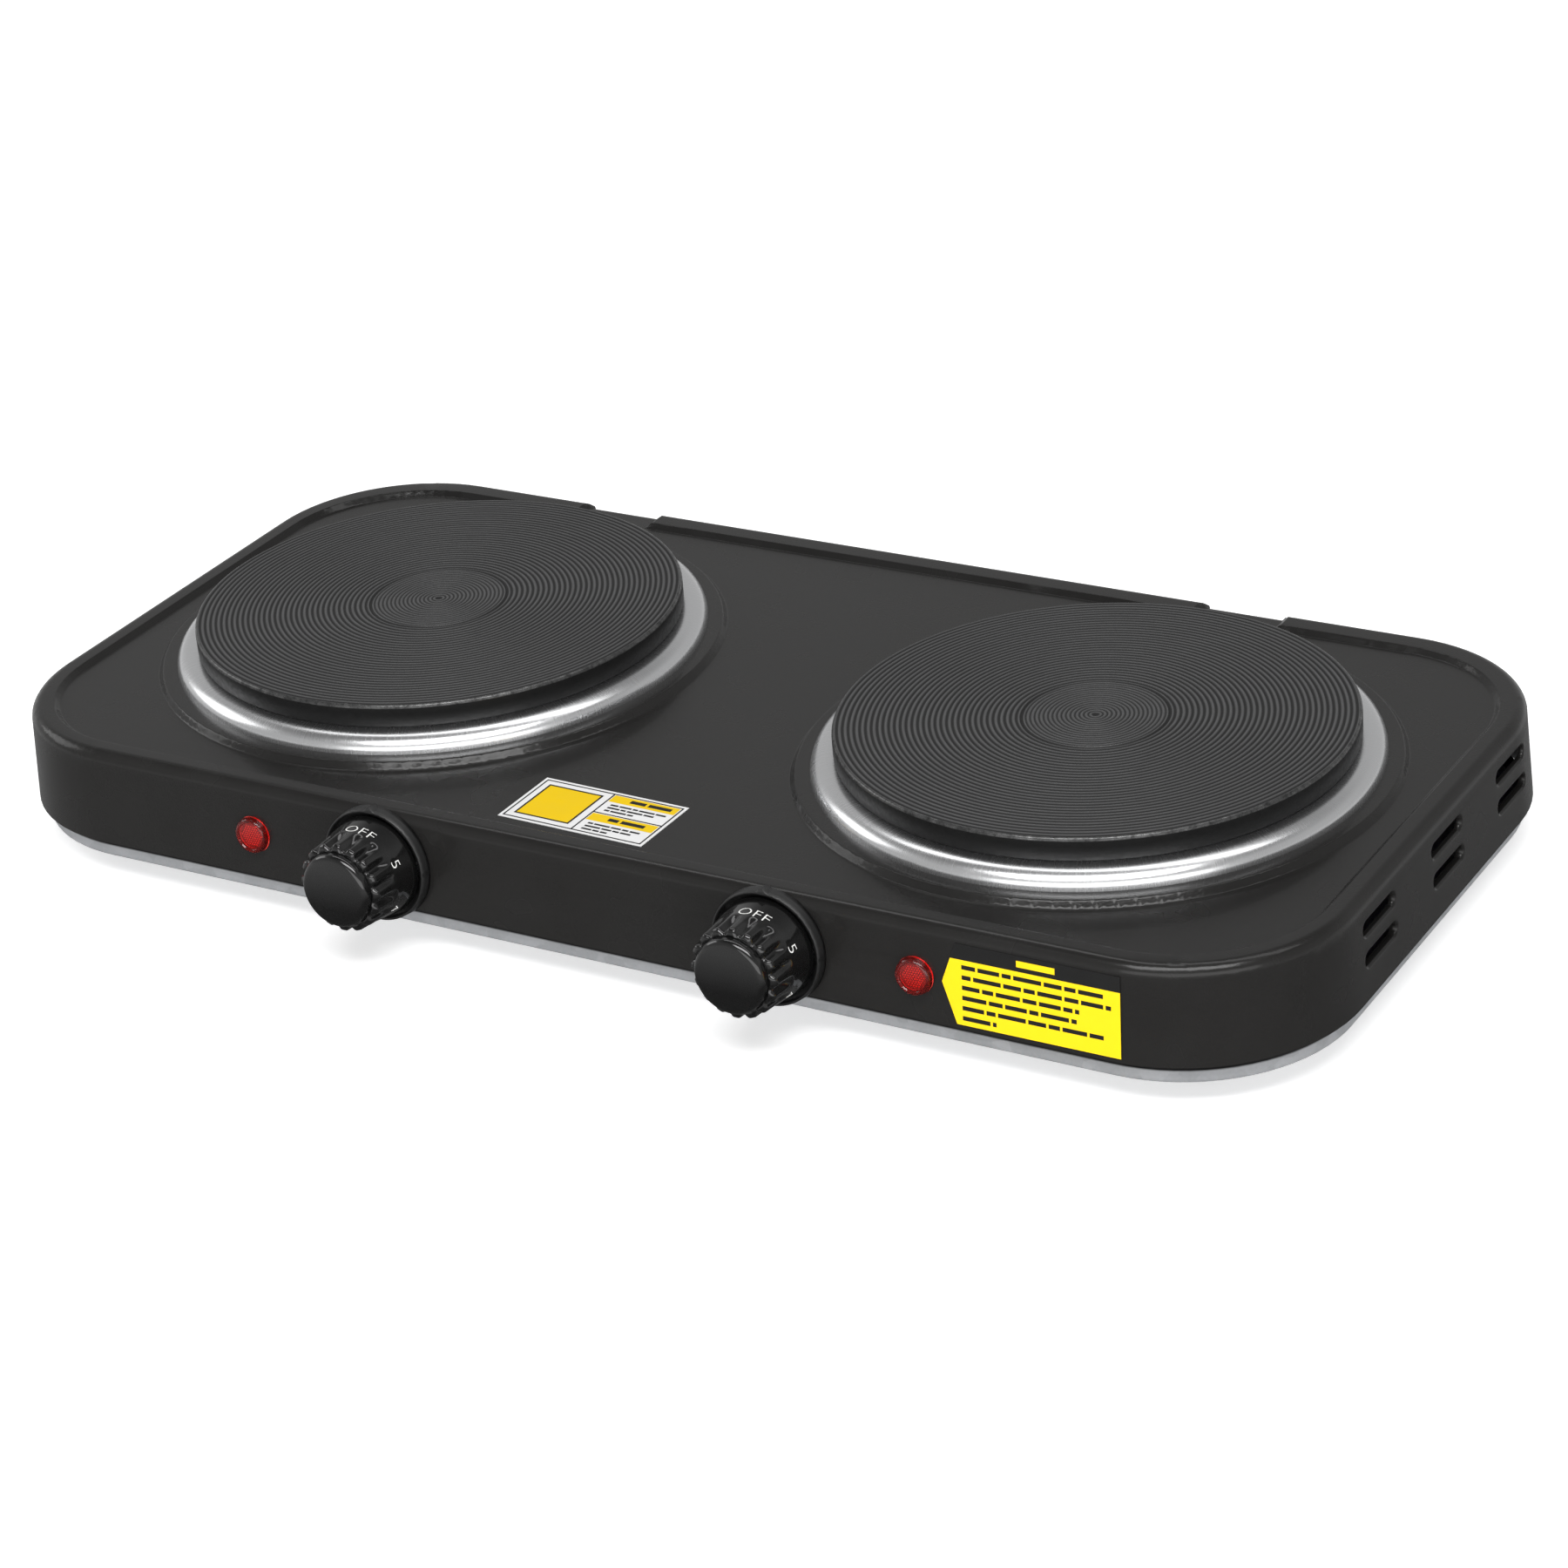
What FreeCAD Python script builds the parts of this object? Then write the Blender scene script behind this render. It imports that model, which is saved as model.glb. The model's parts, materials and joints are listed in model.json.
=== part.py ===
import FreeCAD, Part
import math
import os

from FreeCAD import Vector

# Double electric hot plate. Millimetres, +Z up, +X to the right, the controls face -Y.
# The feet stand on z = 0. Every shape is drawn about the plan centre of the body and moved
# along Y as it is written, so that the origin ends up under the middle of the whole appliance.

# Driving dimensions
PLATE_RADIUS = 92.5
PLATE_SPACING = 277.0
OVERALL_HEIGHT = 69.0
BODY_WIDTH = 536.0
BODY_DEPTH = 265.0
BODY_CORNER = 62.0
BODY_BOTTOM = 16.8
FOOT_HEIGHT = 9.0
SHEET = 0.8
DRAFT_DEG = 3.5
CONTROL_Z = 33.3
KNOB_X = 80.0
LAMP_X = 135.3

# Heights that follow from them
RIM_Z = OVERALL_HEIGHT - 16.0
RIM_STEP = 2.0
PANEL_Z = RIM_Z - RIM_STEP
BOSS_Z = PANEL_Z + 2.5
BASE_TOP = FOOT_HEIGHT + SHEET
PLATE_SEAT_Z = OVERALL_HEIGHT - 9.0
PLATE_SKIRT_Z = OVERALL_HEIGHT - 17.0

# Body shell
EDGE_FILLET = 4.5
BORDER = 10.5
REAR_EXTRA = 2.0
STEP_RUN = 2.6
SLOPE_STEPS = 6
BOSS_RADIUS = 108.8
BOSS_RUN = 2.6
PLATE_HOLE = 90.5
NOTCH_X = 136.5
NOTCH_WIDTH = 31.0
NOTCH_RUN = 3.0
VENT_LENGTH = 26.0
VENT_HEIGHT = 5.0
VENT_FLANGE = 3.0
VENT_PITCH = 58.0
VENT_SHIFT = 6.8
VENT_ROWS = (30.6, 41.8)
VENT_LIP = ((1.6, -0.5), (0.8, 0.1), (0.35, 0.4), (0.12, 0.7), (-0.28, 1.7))
OVERRUN = 1.0

# Base plate
BASE_INSET = 3.3
BASE_WALL = 11.0
BASE_EDGE = 1.6
BASE_SLOT = 50.0
BASE_SLOT_PITCH = 14.0

# Trim rings, clamp bridges and centre studs
RING_RADIUS = 101.1
RING_SHEET = 0.6
STUD_RADIUS = 3.0
STUD_BOTTOM = 30.0
BRIDGE_WIDTH = 25.0
BRIDGE_SHEET = 1.5
BRIDGE_TIP = 101.0
BRIDGE_SHOULDER = 93.0
BRIDGE_FLOOR_Z = 39.0
BRIDGE_ELBOW = 79.0
COVER_SHEET = 0.8
POCKET_RADIUS = 83.0
HUB_RADIUS = 12.0
COIL_RADII = (26.0, 42.0, 58.0, 74.0)
COIL_THICKNESS = 2.2

# Knobs, collars and thermostats, all measured outward from the front wall
COLLAR_RADIUS = 21.4
COLLAR_FRONT_RADIUS = 20.95
COLLAR_INNER = 19.9
COLLAR_HEIGHT = 4.3
COLLAR_FLOOR = 1.0
KNOB_BACK = 3.4
KNOB_LENGTH = 29.7
GRIP_FRONT = 26.2
CAP_RADIUS = 13.8
FLUTES = 16
SHAFT_RADIUS = 3.0
RUNNING_GAP = 0.05
SCREW_SPACING = 28.0
THERMOSTAT_DEPTH = 20.0

# Pilot lamps
LENS_RADIUS = 6.9
LENS_BARREL = 5.9
LENS_BORE = 4.8
LENS_DOME = 5.6
LENS_EDGE = 1.4
LENS_HEIGHT = 3.4
BARREL_DEPTH = 12.0

# Cord bushing in the rear wall
BUSHING_Z = 30.0
BUSHING_BORE = 3.6
BUSHING_NECK = 6.5
BUSHING_HEAD = 9.0
BUSHING_LIP = 2.5

# Feet, brackets and labels
FOOT_X = 218.0
FOOT_Y = 93.0
FOOT_RADIUS = 11.0
BRACKET_SHEET = 1.2
LABEL_THICKNESS = 0.2

# Wiring: the mains block on the base plate and the blocks under the plates
BLOCK_Y = 52.0
BLOCK_DEPTH = 22.0
WELLS = (-14, 0, 14)
TERMINAL_OFFSET = 45.0
TERMINAL_HEIGHT = 9.0

DRAFT = math.tan(math.radians(DRAFT_DEG))
SIDES = (("left", -1), ("right", 1))
UP = Vector(0, 0, 1)
ORIGIN = Vector(0, 0, 0)


def front_wall_y(z):
    """Y of the front wall's outer face at height z."""
    return -BODY_DEPTH / 2 + DRAFT * (z - BODY_BOTTOM)


def reach_to_front():
    """How far the knobs stand in front of the plan centre."""
    return -front_wall_y(CONTROL_Z) + KNOB_LENGTH * math.cos(math.radians(DRAFT_DEG))


def reach_to_rear():
    """How far the bushing's head stands behind the plan centre."""
    tilt = math.radians(DRAFT_DEG)
    return -front_wall_y(BUSHING_Z) + BUSHING_LIP * math.cos(tilt) + BUSHING_HEAD * math.sin(tilt)


PLAN_CENTRE_Y = (reach_to_front() - reach_to_rear()) / 2


# Small tools

def write(name, shapes):
    """Writes one node, a single solid or a group of separate ones, in the appliance's frame."""
    shapes = shapes if isinstance(shapes, list) else [shapes]
    solids = [solid.copy() for shape in shapes for solid in shape.Solids]
    for solid in solids:
        solid.translate(Vector(0, PLAN_CENTRE_Y, 0))
    node = solids[0] if len(solids) == 1 else Part.makeCompound(solids)
    node.exportStep(os.path.join("parts", name + ".step"))


def box(x0, x1, y0, y1, z0, z1):
    """A block between two corners."""
    return Part.makeBox(x1 - x0, y1 - y0, z1 - z0, Vector(x0, y0, z0))


def disc(radius, z0, z1, x=0.0, y=0.0):
    """An upright cylinder between two heights."""
    return Part.makeCylinder(radius, z1 - z0, Vector(x, y, z0))


def tube(outer, inner, z0, z1, x=0.0, y=0.0):
    """An upright tube between two heights."""
    return disc(outer, z0, z1, x, y).cut(disc(inner, z0 - OVERRUN, z1 + OVERRUN, x, y))


def moved(shape, x=0.0, y=0.0, z=0.0):
    """A copy of the shape, shifted."""
    copy = shape.copy()
    copy.translate(Vector(x, y, z))
    return copy


def turned(outline):
    """A solid of revolution about Z from (radius, z) points joined by straight lines."""
    points = [Vector(r, 0, z) for r, z in outline]
    face = Part.Face(Part.makePolygon(points + points[:1]))
    return face.revolve(ORIGIN, UP, 360)


def turned_edges(edges):
    """A solid of revolution about Z from joined edges in the XZ plane."""
    return Part.Face(Part.Wire(edges)).revolve(ORIGIN, UP, 360)


def line(r0, z0, r1, z1):
    """A straight edge in the XZ plane."""
    return Part.LineSegment(Vector(r0, 0, z0), Vector(r1, 0, z1)).toShape()


def curve(points):
    """A smooth edge in the XZ plane through (radius, z) points."""
    spline = Part.BSplineCurve()
    spline.interpolate([Vector(r, 0, z) for r, z in points])
    return spline.toShape()


def dome_arc(radius, low, high):
    """Half of a spherical cap's outline, from its rim to its top on the axis."""
    rise = high - low
    sphere = (radius ** 2 + rise ** 2) / (2 * rise)
    half_r = radius / 2
    half_z = high - sphere + math.sqrt(sphere ** 2 - half_r ** 2)
    return Part.Arc(Vector(radius, 0, low), Vector(half_r, 0, half_z), Vector(0, 0, high)).toShape()


def ease(share):
    """A smooth rise from 0 to 1, level at both ends."""
    return (1 - math.cos(math.pi * share)) / 2


def rounded_rect(width, depth, radius, z):
    """A closed, level wire centred on the plan centre."""
    x, y = width / 2 - radius, depth / 2 - radius
    corners = ((x, y, 0), (-x, y, 90), (-x, -y, 180), (x, -y, 270))
    arcs = []
    for cx, cy, start in corners:
        turn = [math.radians(start + step) for step in (0, 45, 90)]
        points = [Vector(cx + radius * math.cos(a), cy + radius * math.sin(a), z) for a in turn]
        arcs.append(points)
    edges = []
    for index, points in enumerate(arcs):
        edges.append(Part.Arc(*points).toShape())
        edges.append(Part.LineSegment(points[2], arcs[(index + 1) % 4][0]).toShape())
    return Part.Wire(edges)


def slot_prism(length, height, depth):
    """A round-ended slot: length along X, height along Y, depth along Z, centred in plan."""
    half = length / 2 - height / 2
    body = Part.makeBox(2 * half, height, depth, Vector(-half, -height / 2, 0))
    ends = [Part.makeCylinder(height / 2, depth, Vector(x, 0, 0)) for x in (-half, half)]
    return body.multiFuse(ends).removeSplitter()


def on_front_wall(shape, x, z=CONTROL_Z):
    """Takes a shape drawn with X right, Y up and Z outward, and sets it on the front wall."""
    copy = shape.copy()
    copy.rotate(ORIGIN, Vector(1, 0, 0), 90 - DRAFT_DEG)
    copy.translate(Vector(x, front_wall_y(z), z))
    return copy


def on_rear_wall(shape, x, z):
    """Takes a shape drawn with Z outward, and sets it on the rear wall."""
    copy = shape.copy()
    copy.rotate(ORIGIN, Vector(1, 0, 0), -(90 - DRAFT_DEG))
    copy.translate(Vector(x, -front_wall_y(z), z))
    return copy


def lead(points, radius, bend):
    """An insulated lead: straight runs joined by tangent arcs."""
    points = [Vector(*p) for p in points]
    edges = []
    start = points[0]
    for before, corner, after in zip(points, points[1:], points[2:]):
        into = (corner - before).normalize()
        out = (after - corner).normalize()
        half_turn = into.getAngle(out) / 2
        reach = bend * math.tan(half_turn)
        entry = corner - into * reach
        leave = corner + out * reach
        inward = (out - into).normalize()
        middle = corner + inward * (bend / math.cos(half_turn) - bend)
        edges.append(Part.LineSegment(start, entry).toShape())
        edges.append(Part.Arc(entry, middle, leave).toShape())
        start = leave
    edges.append(Part.LineSegment(start, points[-1]).toShape())
    direction = points[1] - points[0]
    section = Part.Wire(Part.makeCircle(radius, points[0], direction))
    return Part.Wire(edges).makePipeShell([section], True, False)


# Body shell and base plate

def body_outline(z, inset, border=0.0):
    """The body's plan outline at height z, brought in by the sheet inset or by the border."""
    shrink = DRAFT * (z - BODY_BOTTOM) + inset + border
    return rounded_rect(BODY_WIDTH - 2 * shrink, BODY_DEPTH - 2 * shrink, BODY_CORNER - shrink, z)


def drafted_block(top, inset):
    """The body's outside up to a level top with a rounded edge."""
    bottom = BODY_BOTTOM if inset == 0 else BODY_BOTTOM - OVERRUN
    block = Part.makeLoft([body_outline(bottom, inset), body_outline(top, inset)], True, True)
    edges = [e for e in block.Edges if abs(e.BoundBox.ZMin - top) < 1e-4 and e.BoundBox.ZLength < 1e-4]
    return block.makeFillet(EDGE_FILLET - inset, edges)


def panel_pocket(inset):
    """The recess inside the rim, whose sides rise in a soft S. The rear border is the wider one."""
    wires = []
    for step in range(SLOPE_STEPS + 1):
        share = step / SLOPE_STEPS
        z = PANEL_Z - inset + RIM_STEP * ease(share)
        shrink = BORDER + STEP_RUN * (1 - share) - inset
        depth = BODY_DEPTH - REAR_EXTRA - 2 * shrink
        wire = rounded_rect(BODY_WIDTH - 2 * shrink, depth, BODY_CORNER - shrink, z)
        wire.translate(Vector(0, -REAR_EXTRA / 2, 0))
        wires.append(wire)
    pocket = Part.makeLoft(wires, True, False)
    lid = Part.Face(wires[-1]).extrude(Vector(0, 0, EDGE_FILLET))
    return pocket.fuse(lid)


def drain_notch(x, inset):
    """The gap in the rear rim, with softly sloping ends. It reaches under the edge's fillet."""
    half = NOTCH_WIDTH / 2 + inset
    low, high = PANEL_Z - inset, RIM_Z - inset
    under = low - EDGE_FILLET - OVERRUN
    shares = [step / SLOPE_STEPS for step in range(SLOPE_STEPS + 1)]
    slope = [(half + NOTCH_RUN * share, low + RIM_STEP * ease(share)) for share in shares]
    right = curve(slope)
    left = curve([(-r, z) for r, z in reversed(slope)])
    tip, over = half + NOTCH_RUN, high + OVERRUN
    edges = [left, line(-half, low, -half, under), line(-half, under, half, under)]
    edges += [line(half, under, half, low), right, line(tip, high, tip, over)]
    edges += [line(tip, over, -tip, over), line(-tip, over, -tip, high)]
    prism = Part.Face(Part.Wire(edges)).extrude(Vector(0, BODY_DEPTH / 2, 0))
    return moved(prism, x, BODY_DEPTH / 4)


def plate_boss(x, inset):
    """The raised round seat that a trim ring rests on."""
    radius = BOSS_RADIUS - inset
    low, high = PANEL_Z - inset, BOSS_Z - inset
    shares = [step / SLOPE_STEPS for step in range(SLOPE_STEPS + 1)]
    slope = [(radius - BOSS_RUN * share, low + (high - low) * ease(share)) for share in shares]
    edges = [line(0, low - OVERRUN, radius, low - OVERRUN), line(radius, low - OVERRUN, radius, low)]
    edges += [curve(slope), line(radius - BOSS_RUN, high, 0, high), line(0, high, 0, low - OVERRUN)]
    return moved(turned_edges(edges), x)


def body_solid(inset):
    """The body as a filled block: the outside for inset 0, the space inside for the sheet's inset."""
    block = drafted_block(PANEL_Z - inset, inset)
    rim = drafted_block(RIM_Z - inset, inset).cut(panel_pocket(inset))
    for _, side in SIDES:
        rim = rim.cut(drain_notch(side * NOTCH_X, inset))
    bosses = [plate_boss(side * PLATE_SPACING / 2, inset) for _, side in SIDES]
    return block.multiFuse([rim] + bosses)


def vent_positions():
    """Side, y and z of every vent slot."""
    for _, side in SIDES:
        for group in (-1, 0, 1):
            for z in VENT_ROWS:
                yield side, VENT_SHIFT + group * VENT_PITCH, z


def vent_prism(side, y, z, grow, depth):
    """A slot through an end wall, reaching inward by depth."""
    prism = slot_prism(VENT_LENGTH + 2 * grow, VENT_HEIGHT + 2 * grow, depth + BODY_CORNER / 2)
    prism.rotate(ORIGIN, UP, 90)
    prism.rotate(ORIGIN, Vector(0, 1, 0), side * 90)
    return moved(prism, side * (BODY_WIDTH / 2 - depth), y, z)


def vent_lip(side, y, z):
    """The rolled-in edge of a vent slot, as the space above it."""
    wires = []
    for depth, grow in VENT_LIP:
        prism = slot_prism(VENT_LENGTH + 2 * grow, VENT_HEIGHT + 2 * grow, OVERRUN)
        level = next(face for face in prism.Faces if face.BoundBox.ZMax < 1e-6)
        wires.append(moved(level.OuterWire, 0, 0, -depth))
    lip = Part.makeLoft(wires, True, True)
    lip.rotate(ORIGIN, UP, 90)
    lip.rotate(ORIGIN, Vector(0, 1, 0), side * (90 - DRAFT_DEG))
    return moved(lip, side * (BODY_WIDTH / 2 - DRAFT * (z - BODY_BOTTOM)), y, z)


def body_shell():
    """The pressed steel body, open underneath."""
    outside = body_solid(0)
    shell = outside.cut(body_solid(SHEET))
    flanges = [vent_prism(s, y, z, SHEET, VENT_FLANGE + SHEET).common(outside) for s, y, z in vent_positions()]
    shell = shell.multiFuse(flanges)
    tools = [vent_prism(s, y, z, 0, VENT_FLANGE + 4 * SHEET) for s, y, z in vent_positions()]
    tools += [vent_lip(s, y, z) for s, y, z in vent_positions()]
    for _, side in SIDES:
        tools.append(disc(PLATE_HOLE, PANEL_Z - RIM_STEP - OVERRUN, RIM_Z + OVERRUN, side * PLATE_SPACING / 2))
        tools.append(on_front_wall(disc(BUSHING_NECK, -4, 4), side * KNOB_X))
        tools.append(on_front_wall(disc(LENS_BARREL, -4, 4), side * LAMP_X))
        for screw in (-1, 1):
            hole = disc(2.1, -4, 4, screw * SCREW_SPACING / 2)
            tools.append(on_front_wall(hole, side * KNOB_X))
    tools.append(on_rear_wall(disc(BUSHING_NECK, -4, 4), 0, BUSHING_Z))
    return shell.cut(tools)


def bracket_positions():
    """Plan positions of the brackets: four above the feet and two in the middle."""
    corners = [(sx * FOOT_X, sy * FOOT_Y) for sx in (-1, 1) for sy in (-1, 1)]
    return corners + [(0.0, sy * FOOT_Y) for sy in (-1, 1)]


def base_plate():
    """The galvanised tray that closes the body from below."""
    width, depth = BODY_WIDTH - 2 * BASE_INSET, BODY_DEPTH - 2 * BASE_INSET
    radius = BODY_CORNER - BASE_INSET
    top = FOOT_HEIGHT + BASE_WALL
    outside = Part.Face(rounded_rect(width, depth, radius, FOOT_HEIGHT)).extrude(Vector(0, 0, BASE_WALL))
    edges = [e for e in outside.Edges if e.BoundBox.ZMax < FOOT_HEIGHT + 1e-4]
    outside = outside.makeFillet(BASE_EDGE, edges)
    inner = rounded_rect(width - 2 * SHEET, depth - 2 * SHEET, radius - SHEET, BASE_TOP)
    inside = Part.Face(inner).extrude(Vector(0, 0, top))
    edges = [e for e in inside.Edges if e.BoundBox.ZMax < BASE_TOP + 1e-4]
    inside = inside.makeFillet(BASE_EDGE - SHEET, edges)
    tools = [inside]
    tools += [disc(2.1, 0, top, x, y) for x, y in bracket_positions()]
    for _, side in SIDES:
        for row in range(-2, 3):
            slot = slot_prism(BASE_SLOT, 4, top)
            tools.append(moved(slot, side * PLATE_SPACING / 2, row * BASE_SLOT_PITCH))
    return outside.cut(tools)


def brackets():
    """Bent strips from the underside of the top panel down to the base plate."""
    strips = []
    top = PANEL_Z - SHEET
    for x, y in bracket_positions():
        foot = box(x - 8, x + 8, y - 8, y + 8, BASE_TOP, BASE_TOP + BRACKET_SHEET)
        web = box(x + 8 - BRACKET_SHEET, x + 8, y - 8, y + 8, BASE_TOP, top)
        head = box(x - 8, x + 8, y - 8, y + 8, top - BRACKET_SHEET, top)
        strip = foot.multiFuse([web, head]).cut(disc(1.8, BASE_TOP - OVERRUN, BASE_TOP + 4, x, y))
        strips.append(strip.removeSplitter())
    return strips


# Hot plates, one side at a time

def hotplate():
    """The cast-iron plate with its skirt, its centre hub and the pocket for the coil."""
    chamfer = 0.8
    outline = [
        (STUD_RADIUS, PLATE_SKIRT_Z), (STUD_RADIUS, PLATE_SKIRT_Z + 6), (0, PLATE_SKIRT_Z + 6),
        (0, OVERALL_HEIGHT), (PLATE_RADIUS - chamfer, OVERALL_HEIGHT),
        (PLATE_RADIUS, OVERALL_HEIGHT - chamfer), (PLATE_RADIUS, PLATE_SEAT_Z + chamfer),
        (PLATE_RADIUS - chamfer, PLATE_SEAT_Z), (POCKET_RADIUS + 5, PLATE_SEAT_Z),
        (POCKET_RADIUS + 5, PLATE_SKIRT_Z), (POCKET_RADIUS, PLATE_SKIRT_Z),
        (POCKET_RADIUS, PLATE_SEAT_Z + 0.5), (HUB_RADIUS, PLATE_SEAT_Z + 0.5), (HUB_RADIUS, PLATE_SKIRT_Z),
    ]
    return turned(outline)


def trim_ring():
    """The stainless ring between the plate's edge and the raised seat."""
    seat = PLATE_SEAT_Z - RING_SHEET
    outer = [
        (PLATE_HOLE + 0.5, seat + RING_SHEET), (93.6, seat + RING_SHEET), (95.2, seat + 0.45),
        (97.4, seat - 0.5), (99.5, seat - 2.4), (100.7, seat - 4.4), (RING_RADIUS, BOSS_Z + 0.3),
        (RING_RADIUS, BOSS_Z),
    ]
    inner = [(RING_RADIUS - RING_SHEET, BOSS_Z), (100.1, seat - 4.5), (99.0, seat - 2.8), (97.1, seat - 1.0),
             (95.0, seat - 0.15), (93.4, seat), (PLATE_HOLE + 0.5, seat)]
    edges = [line(*outer[0], *outer[1]), curve(outer[1:-1]), line(*outer[-2], *outer[-1])]
    edges += [line(*outer[-1], *inner[0]), curve(inner[:-1]), line(*inner[-2], *inner[-1])]
    edges.append(line(*inner[-1], *outer[0]))
    return turned_edges(edges)


def heating_coils():
    """Rings of heating coil bedded in the refractory."""
    middle = (PLATE_SKIRT_Z + PLATE_SEAT_Z + COVER_SHEET) / 2
    return [Part.makeTorus(radius, COIL_THICKNESS, Vector(0, 0, middle)) for radius in COIL_RADII]


def refractory_fill():
    """The ceramic bed that holds the coil in the plate's pocket."""
    bed = tube(POCKET_RADIUS, HUB_RADIUS, PLATE_SKIRT_Z + COVER_SHEET, PLATE_SEAT_Z + 0.5)
    return bed.cut(heating_coils())


def clamp_bridge():
    """The bent bar under the body that the stud pulls against."""
    top = BOSS_Z - SHEET
    half = [(BRIDGE_TIP, top), (BRIDGE_SHOULDER, top), (BRIDGE_ELBOW, BRIDGE_FLOOR_Z)]
    upper = half + [(-y, z) for y, z in reversed(half)]
    lower = [(y, z - BRIDGE_SHEET) for y, z in reversed(upper)]
    points = [Vector(-BRIDGE_WIDTH / 2, y, z) for y, z in upper + lower]
    bar = Part.Face(Part.makePolygon(points + points[:1])).extrude(Vector(BRIDGE_WIDTH, 0, 0))
    return bar.cut(disc(STUD_RADIUS, BRIDGE_FLOOR_Z - 4, BRIDGE_FLOOR_Z + 4))


def hex_nut(across, height):
    """A hexagon nut on the stud, standing on z = 0."""
    corner = across / math.sqrt(3)
    points = [Vector(corner * math.cos(a), corner * math.sin(a), 0)
              for a in [math.radians(60 * step) for step in range(6)]]
    prism = Part.Face(Part.makePolygon(points + points[:1])).extrude(Vector(0, 0, height))
    return prism.cut(disc(STUD_RADIUS, -OVERRUN, height + OVERRUN))


def plate_terminals(toward):
    """The ceramic block under the plate that the coil's ends come out of."""
    block = box(-8, 8, -17, 17, PLATE_SKIRT_Z - TERMINAL_HEIGHT, PLATE_SKIRT_Z)
    return moved(block, toward * TERMINAL_OFFSET)


# Controls, drawn outward from the wall and then set on it

def knob_collar():
    """The round collar around a knob, with the pointer on top."""
    outline = [(BUSHING_NECK, 0), (COLLAR_RADIUS, 0), (COLLAR_FRONT_RADIUS, COLLAR_HEIGHT),
               (COLLAR_INNER, COLLAR_HEIGHT), (COLLAR_INNER, COLLAR_FLOOR), (BUSHING_NECK, COLLAR_FLOOR)]
    collar = turned(outline)
    tip, foot = COLLAR_RADIUS + 1.2, COLLAR_INNER + 0.4
    points = [Vector(-2.6, foot, 0), Vector(2.6, foot, 0), Vector(0, tip, 0)]
    pointer = Part.Face(Part.makePolygon(points + points[:1])).extrude(Vector(0, 0, COLLAR_HEIGHT))
    holes = [disc(2.1, -OVERRUN, 3, side * SCREW_SPACING / 2) for side in (-1, 1)]
    return collar.fuse(pointer).cut(holes)


def flute(index):
    """One scoop of the grip, deeper towards the front."""
    radius, start = 3.2, 11.0
    scoop = Part.makeCylinder(radius, KNOB_LENGTH, Vector(0, 0, 0))
    scoop.rotate(ORIGIN, Vector(0, 1, 0), -11.0)
    scoop.translate(Vector(17.9 + radius, 0, start))
    scoop.rotate(ORIGIN, UP, (index + 0.5) * 360 / FLUTES)
    return scoop


def knob():
    """The moulded knob: marked skirt, fluted grip and domed cap, hollow behind."""
    dome = dome_arc(CAP_RADIUS, GRIP_FRONT, KNOB_LENGTH)
    edges = [
        line(0, KNOB_BACK, 18.5, KNOB_BACK), line(18.5, KNOB_BACK, 18.8, KNOB_BACK + 0.6),
        curve([(18.8, KNOB_BACK + 0.6), (17.5, 12.0), (16.9, 18.0), (16.6, 24.0)]),
        line(16.6, 24.0, 14.6, GRIP_FRONT - 0.4), line(14.6, GRIP_FRONT - 0.4, CAP_RADIUS, GRIP_FRONT - 0.4),
        line(CAP_RADIUS, GRIP_FRONT - 0.4, CAP_RADIUS, GRIP_FRONT), dome,
        line(0, KNOB_LENGTH, 0, KNOB_BACK),
    ]
    body = turned_edges(edges)
    cap = turned_edges([line(0, 18, CAP_RADIUS, 18), line(CAP_RADIUS, 18, CAP_RADIUS, GRIP_FRONT), dome,
                        line(0, KNOB_LENGTH, 0, 18)])
    body = body.cut([flute(index) for index in range(FLUTES)]).fuse(cap)
    hollow = turned([(6.5, KNOB_BACK - OVERRUN), (16.8, KNOB_BACK - OVERRUN), (15.4, 12), (12.3, 23), (6.5, 23)])
    bore = disc(SHAFT_RADIUS + RUNNING_GAP / 2, 0, 20.5)
    return body.cut([hollow, bore])


def thermostat_shaft():
    """The shaft from the thermostat into the knob, with a flat for the spring clip."""
    shaft = disc(SHAFT_RADIUS, -THERMOSTAT_DEPTH + 2, 20)
    return shaft.cut(box(-4, 4, 2.0, 4, 5, 21))


def knob_clip():
    """The leaf spring that lies on the shaft's flat inside the knob."""
    return box(-1.6, 1.6, 2.0, 2.4, 6, 18)


def thermostat():
    """The thermostat's ceramic body, with the bushing that the shaft turns in."""
    back = -SHEET - BRACKET_SHEET
    block = box(-12, 12, -10, 10, -THERMOSTAT_DEPTH - 3, back)
    bushing = disc(5.0, back, COLLAR_FLOOR + 1)
    block = block.fuse(bushing)
    return block.cut(disc(SHAFT_RADIUS + RUNNING_GAP, -THERMOSTAT_DEPTH + 2 - RUNNING_GAP, 10))


def thermostat_bracket():
    """The steel plate that the thermostat hangs on, behind the front wall."""
    plate = box(-19, 19, -9, 9, -SHEET - BRACKET_SHEET, -SHEET)
    holes = [disc(1.8, -6, 2, side * SCREW_SPACING / 2) for side in (-1, 1)]
    return plate.cut(holes + [disc(5.0, -6, 2)])


def thermostat_screw(side):
    """A pan-head screw through the collar and the wall into the bracket."""
    head = disc(3.4, COLLAR_FLOOR, COLLAR_FLOOR + 2.0).cut(box(-4, 4, -0.4, 0.4, COLLAR_FLOOR + 1.1, 4))
    return moved(head.fuse(disc(1.8, -5, COLLAR_FLOOR)), side * SCREW_SPACING / 2)


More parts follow.
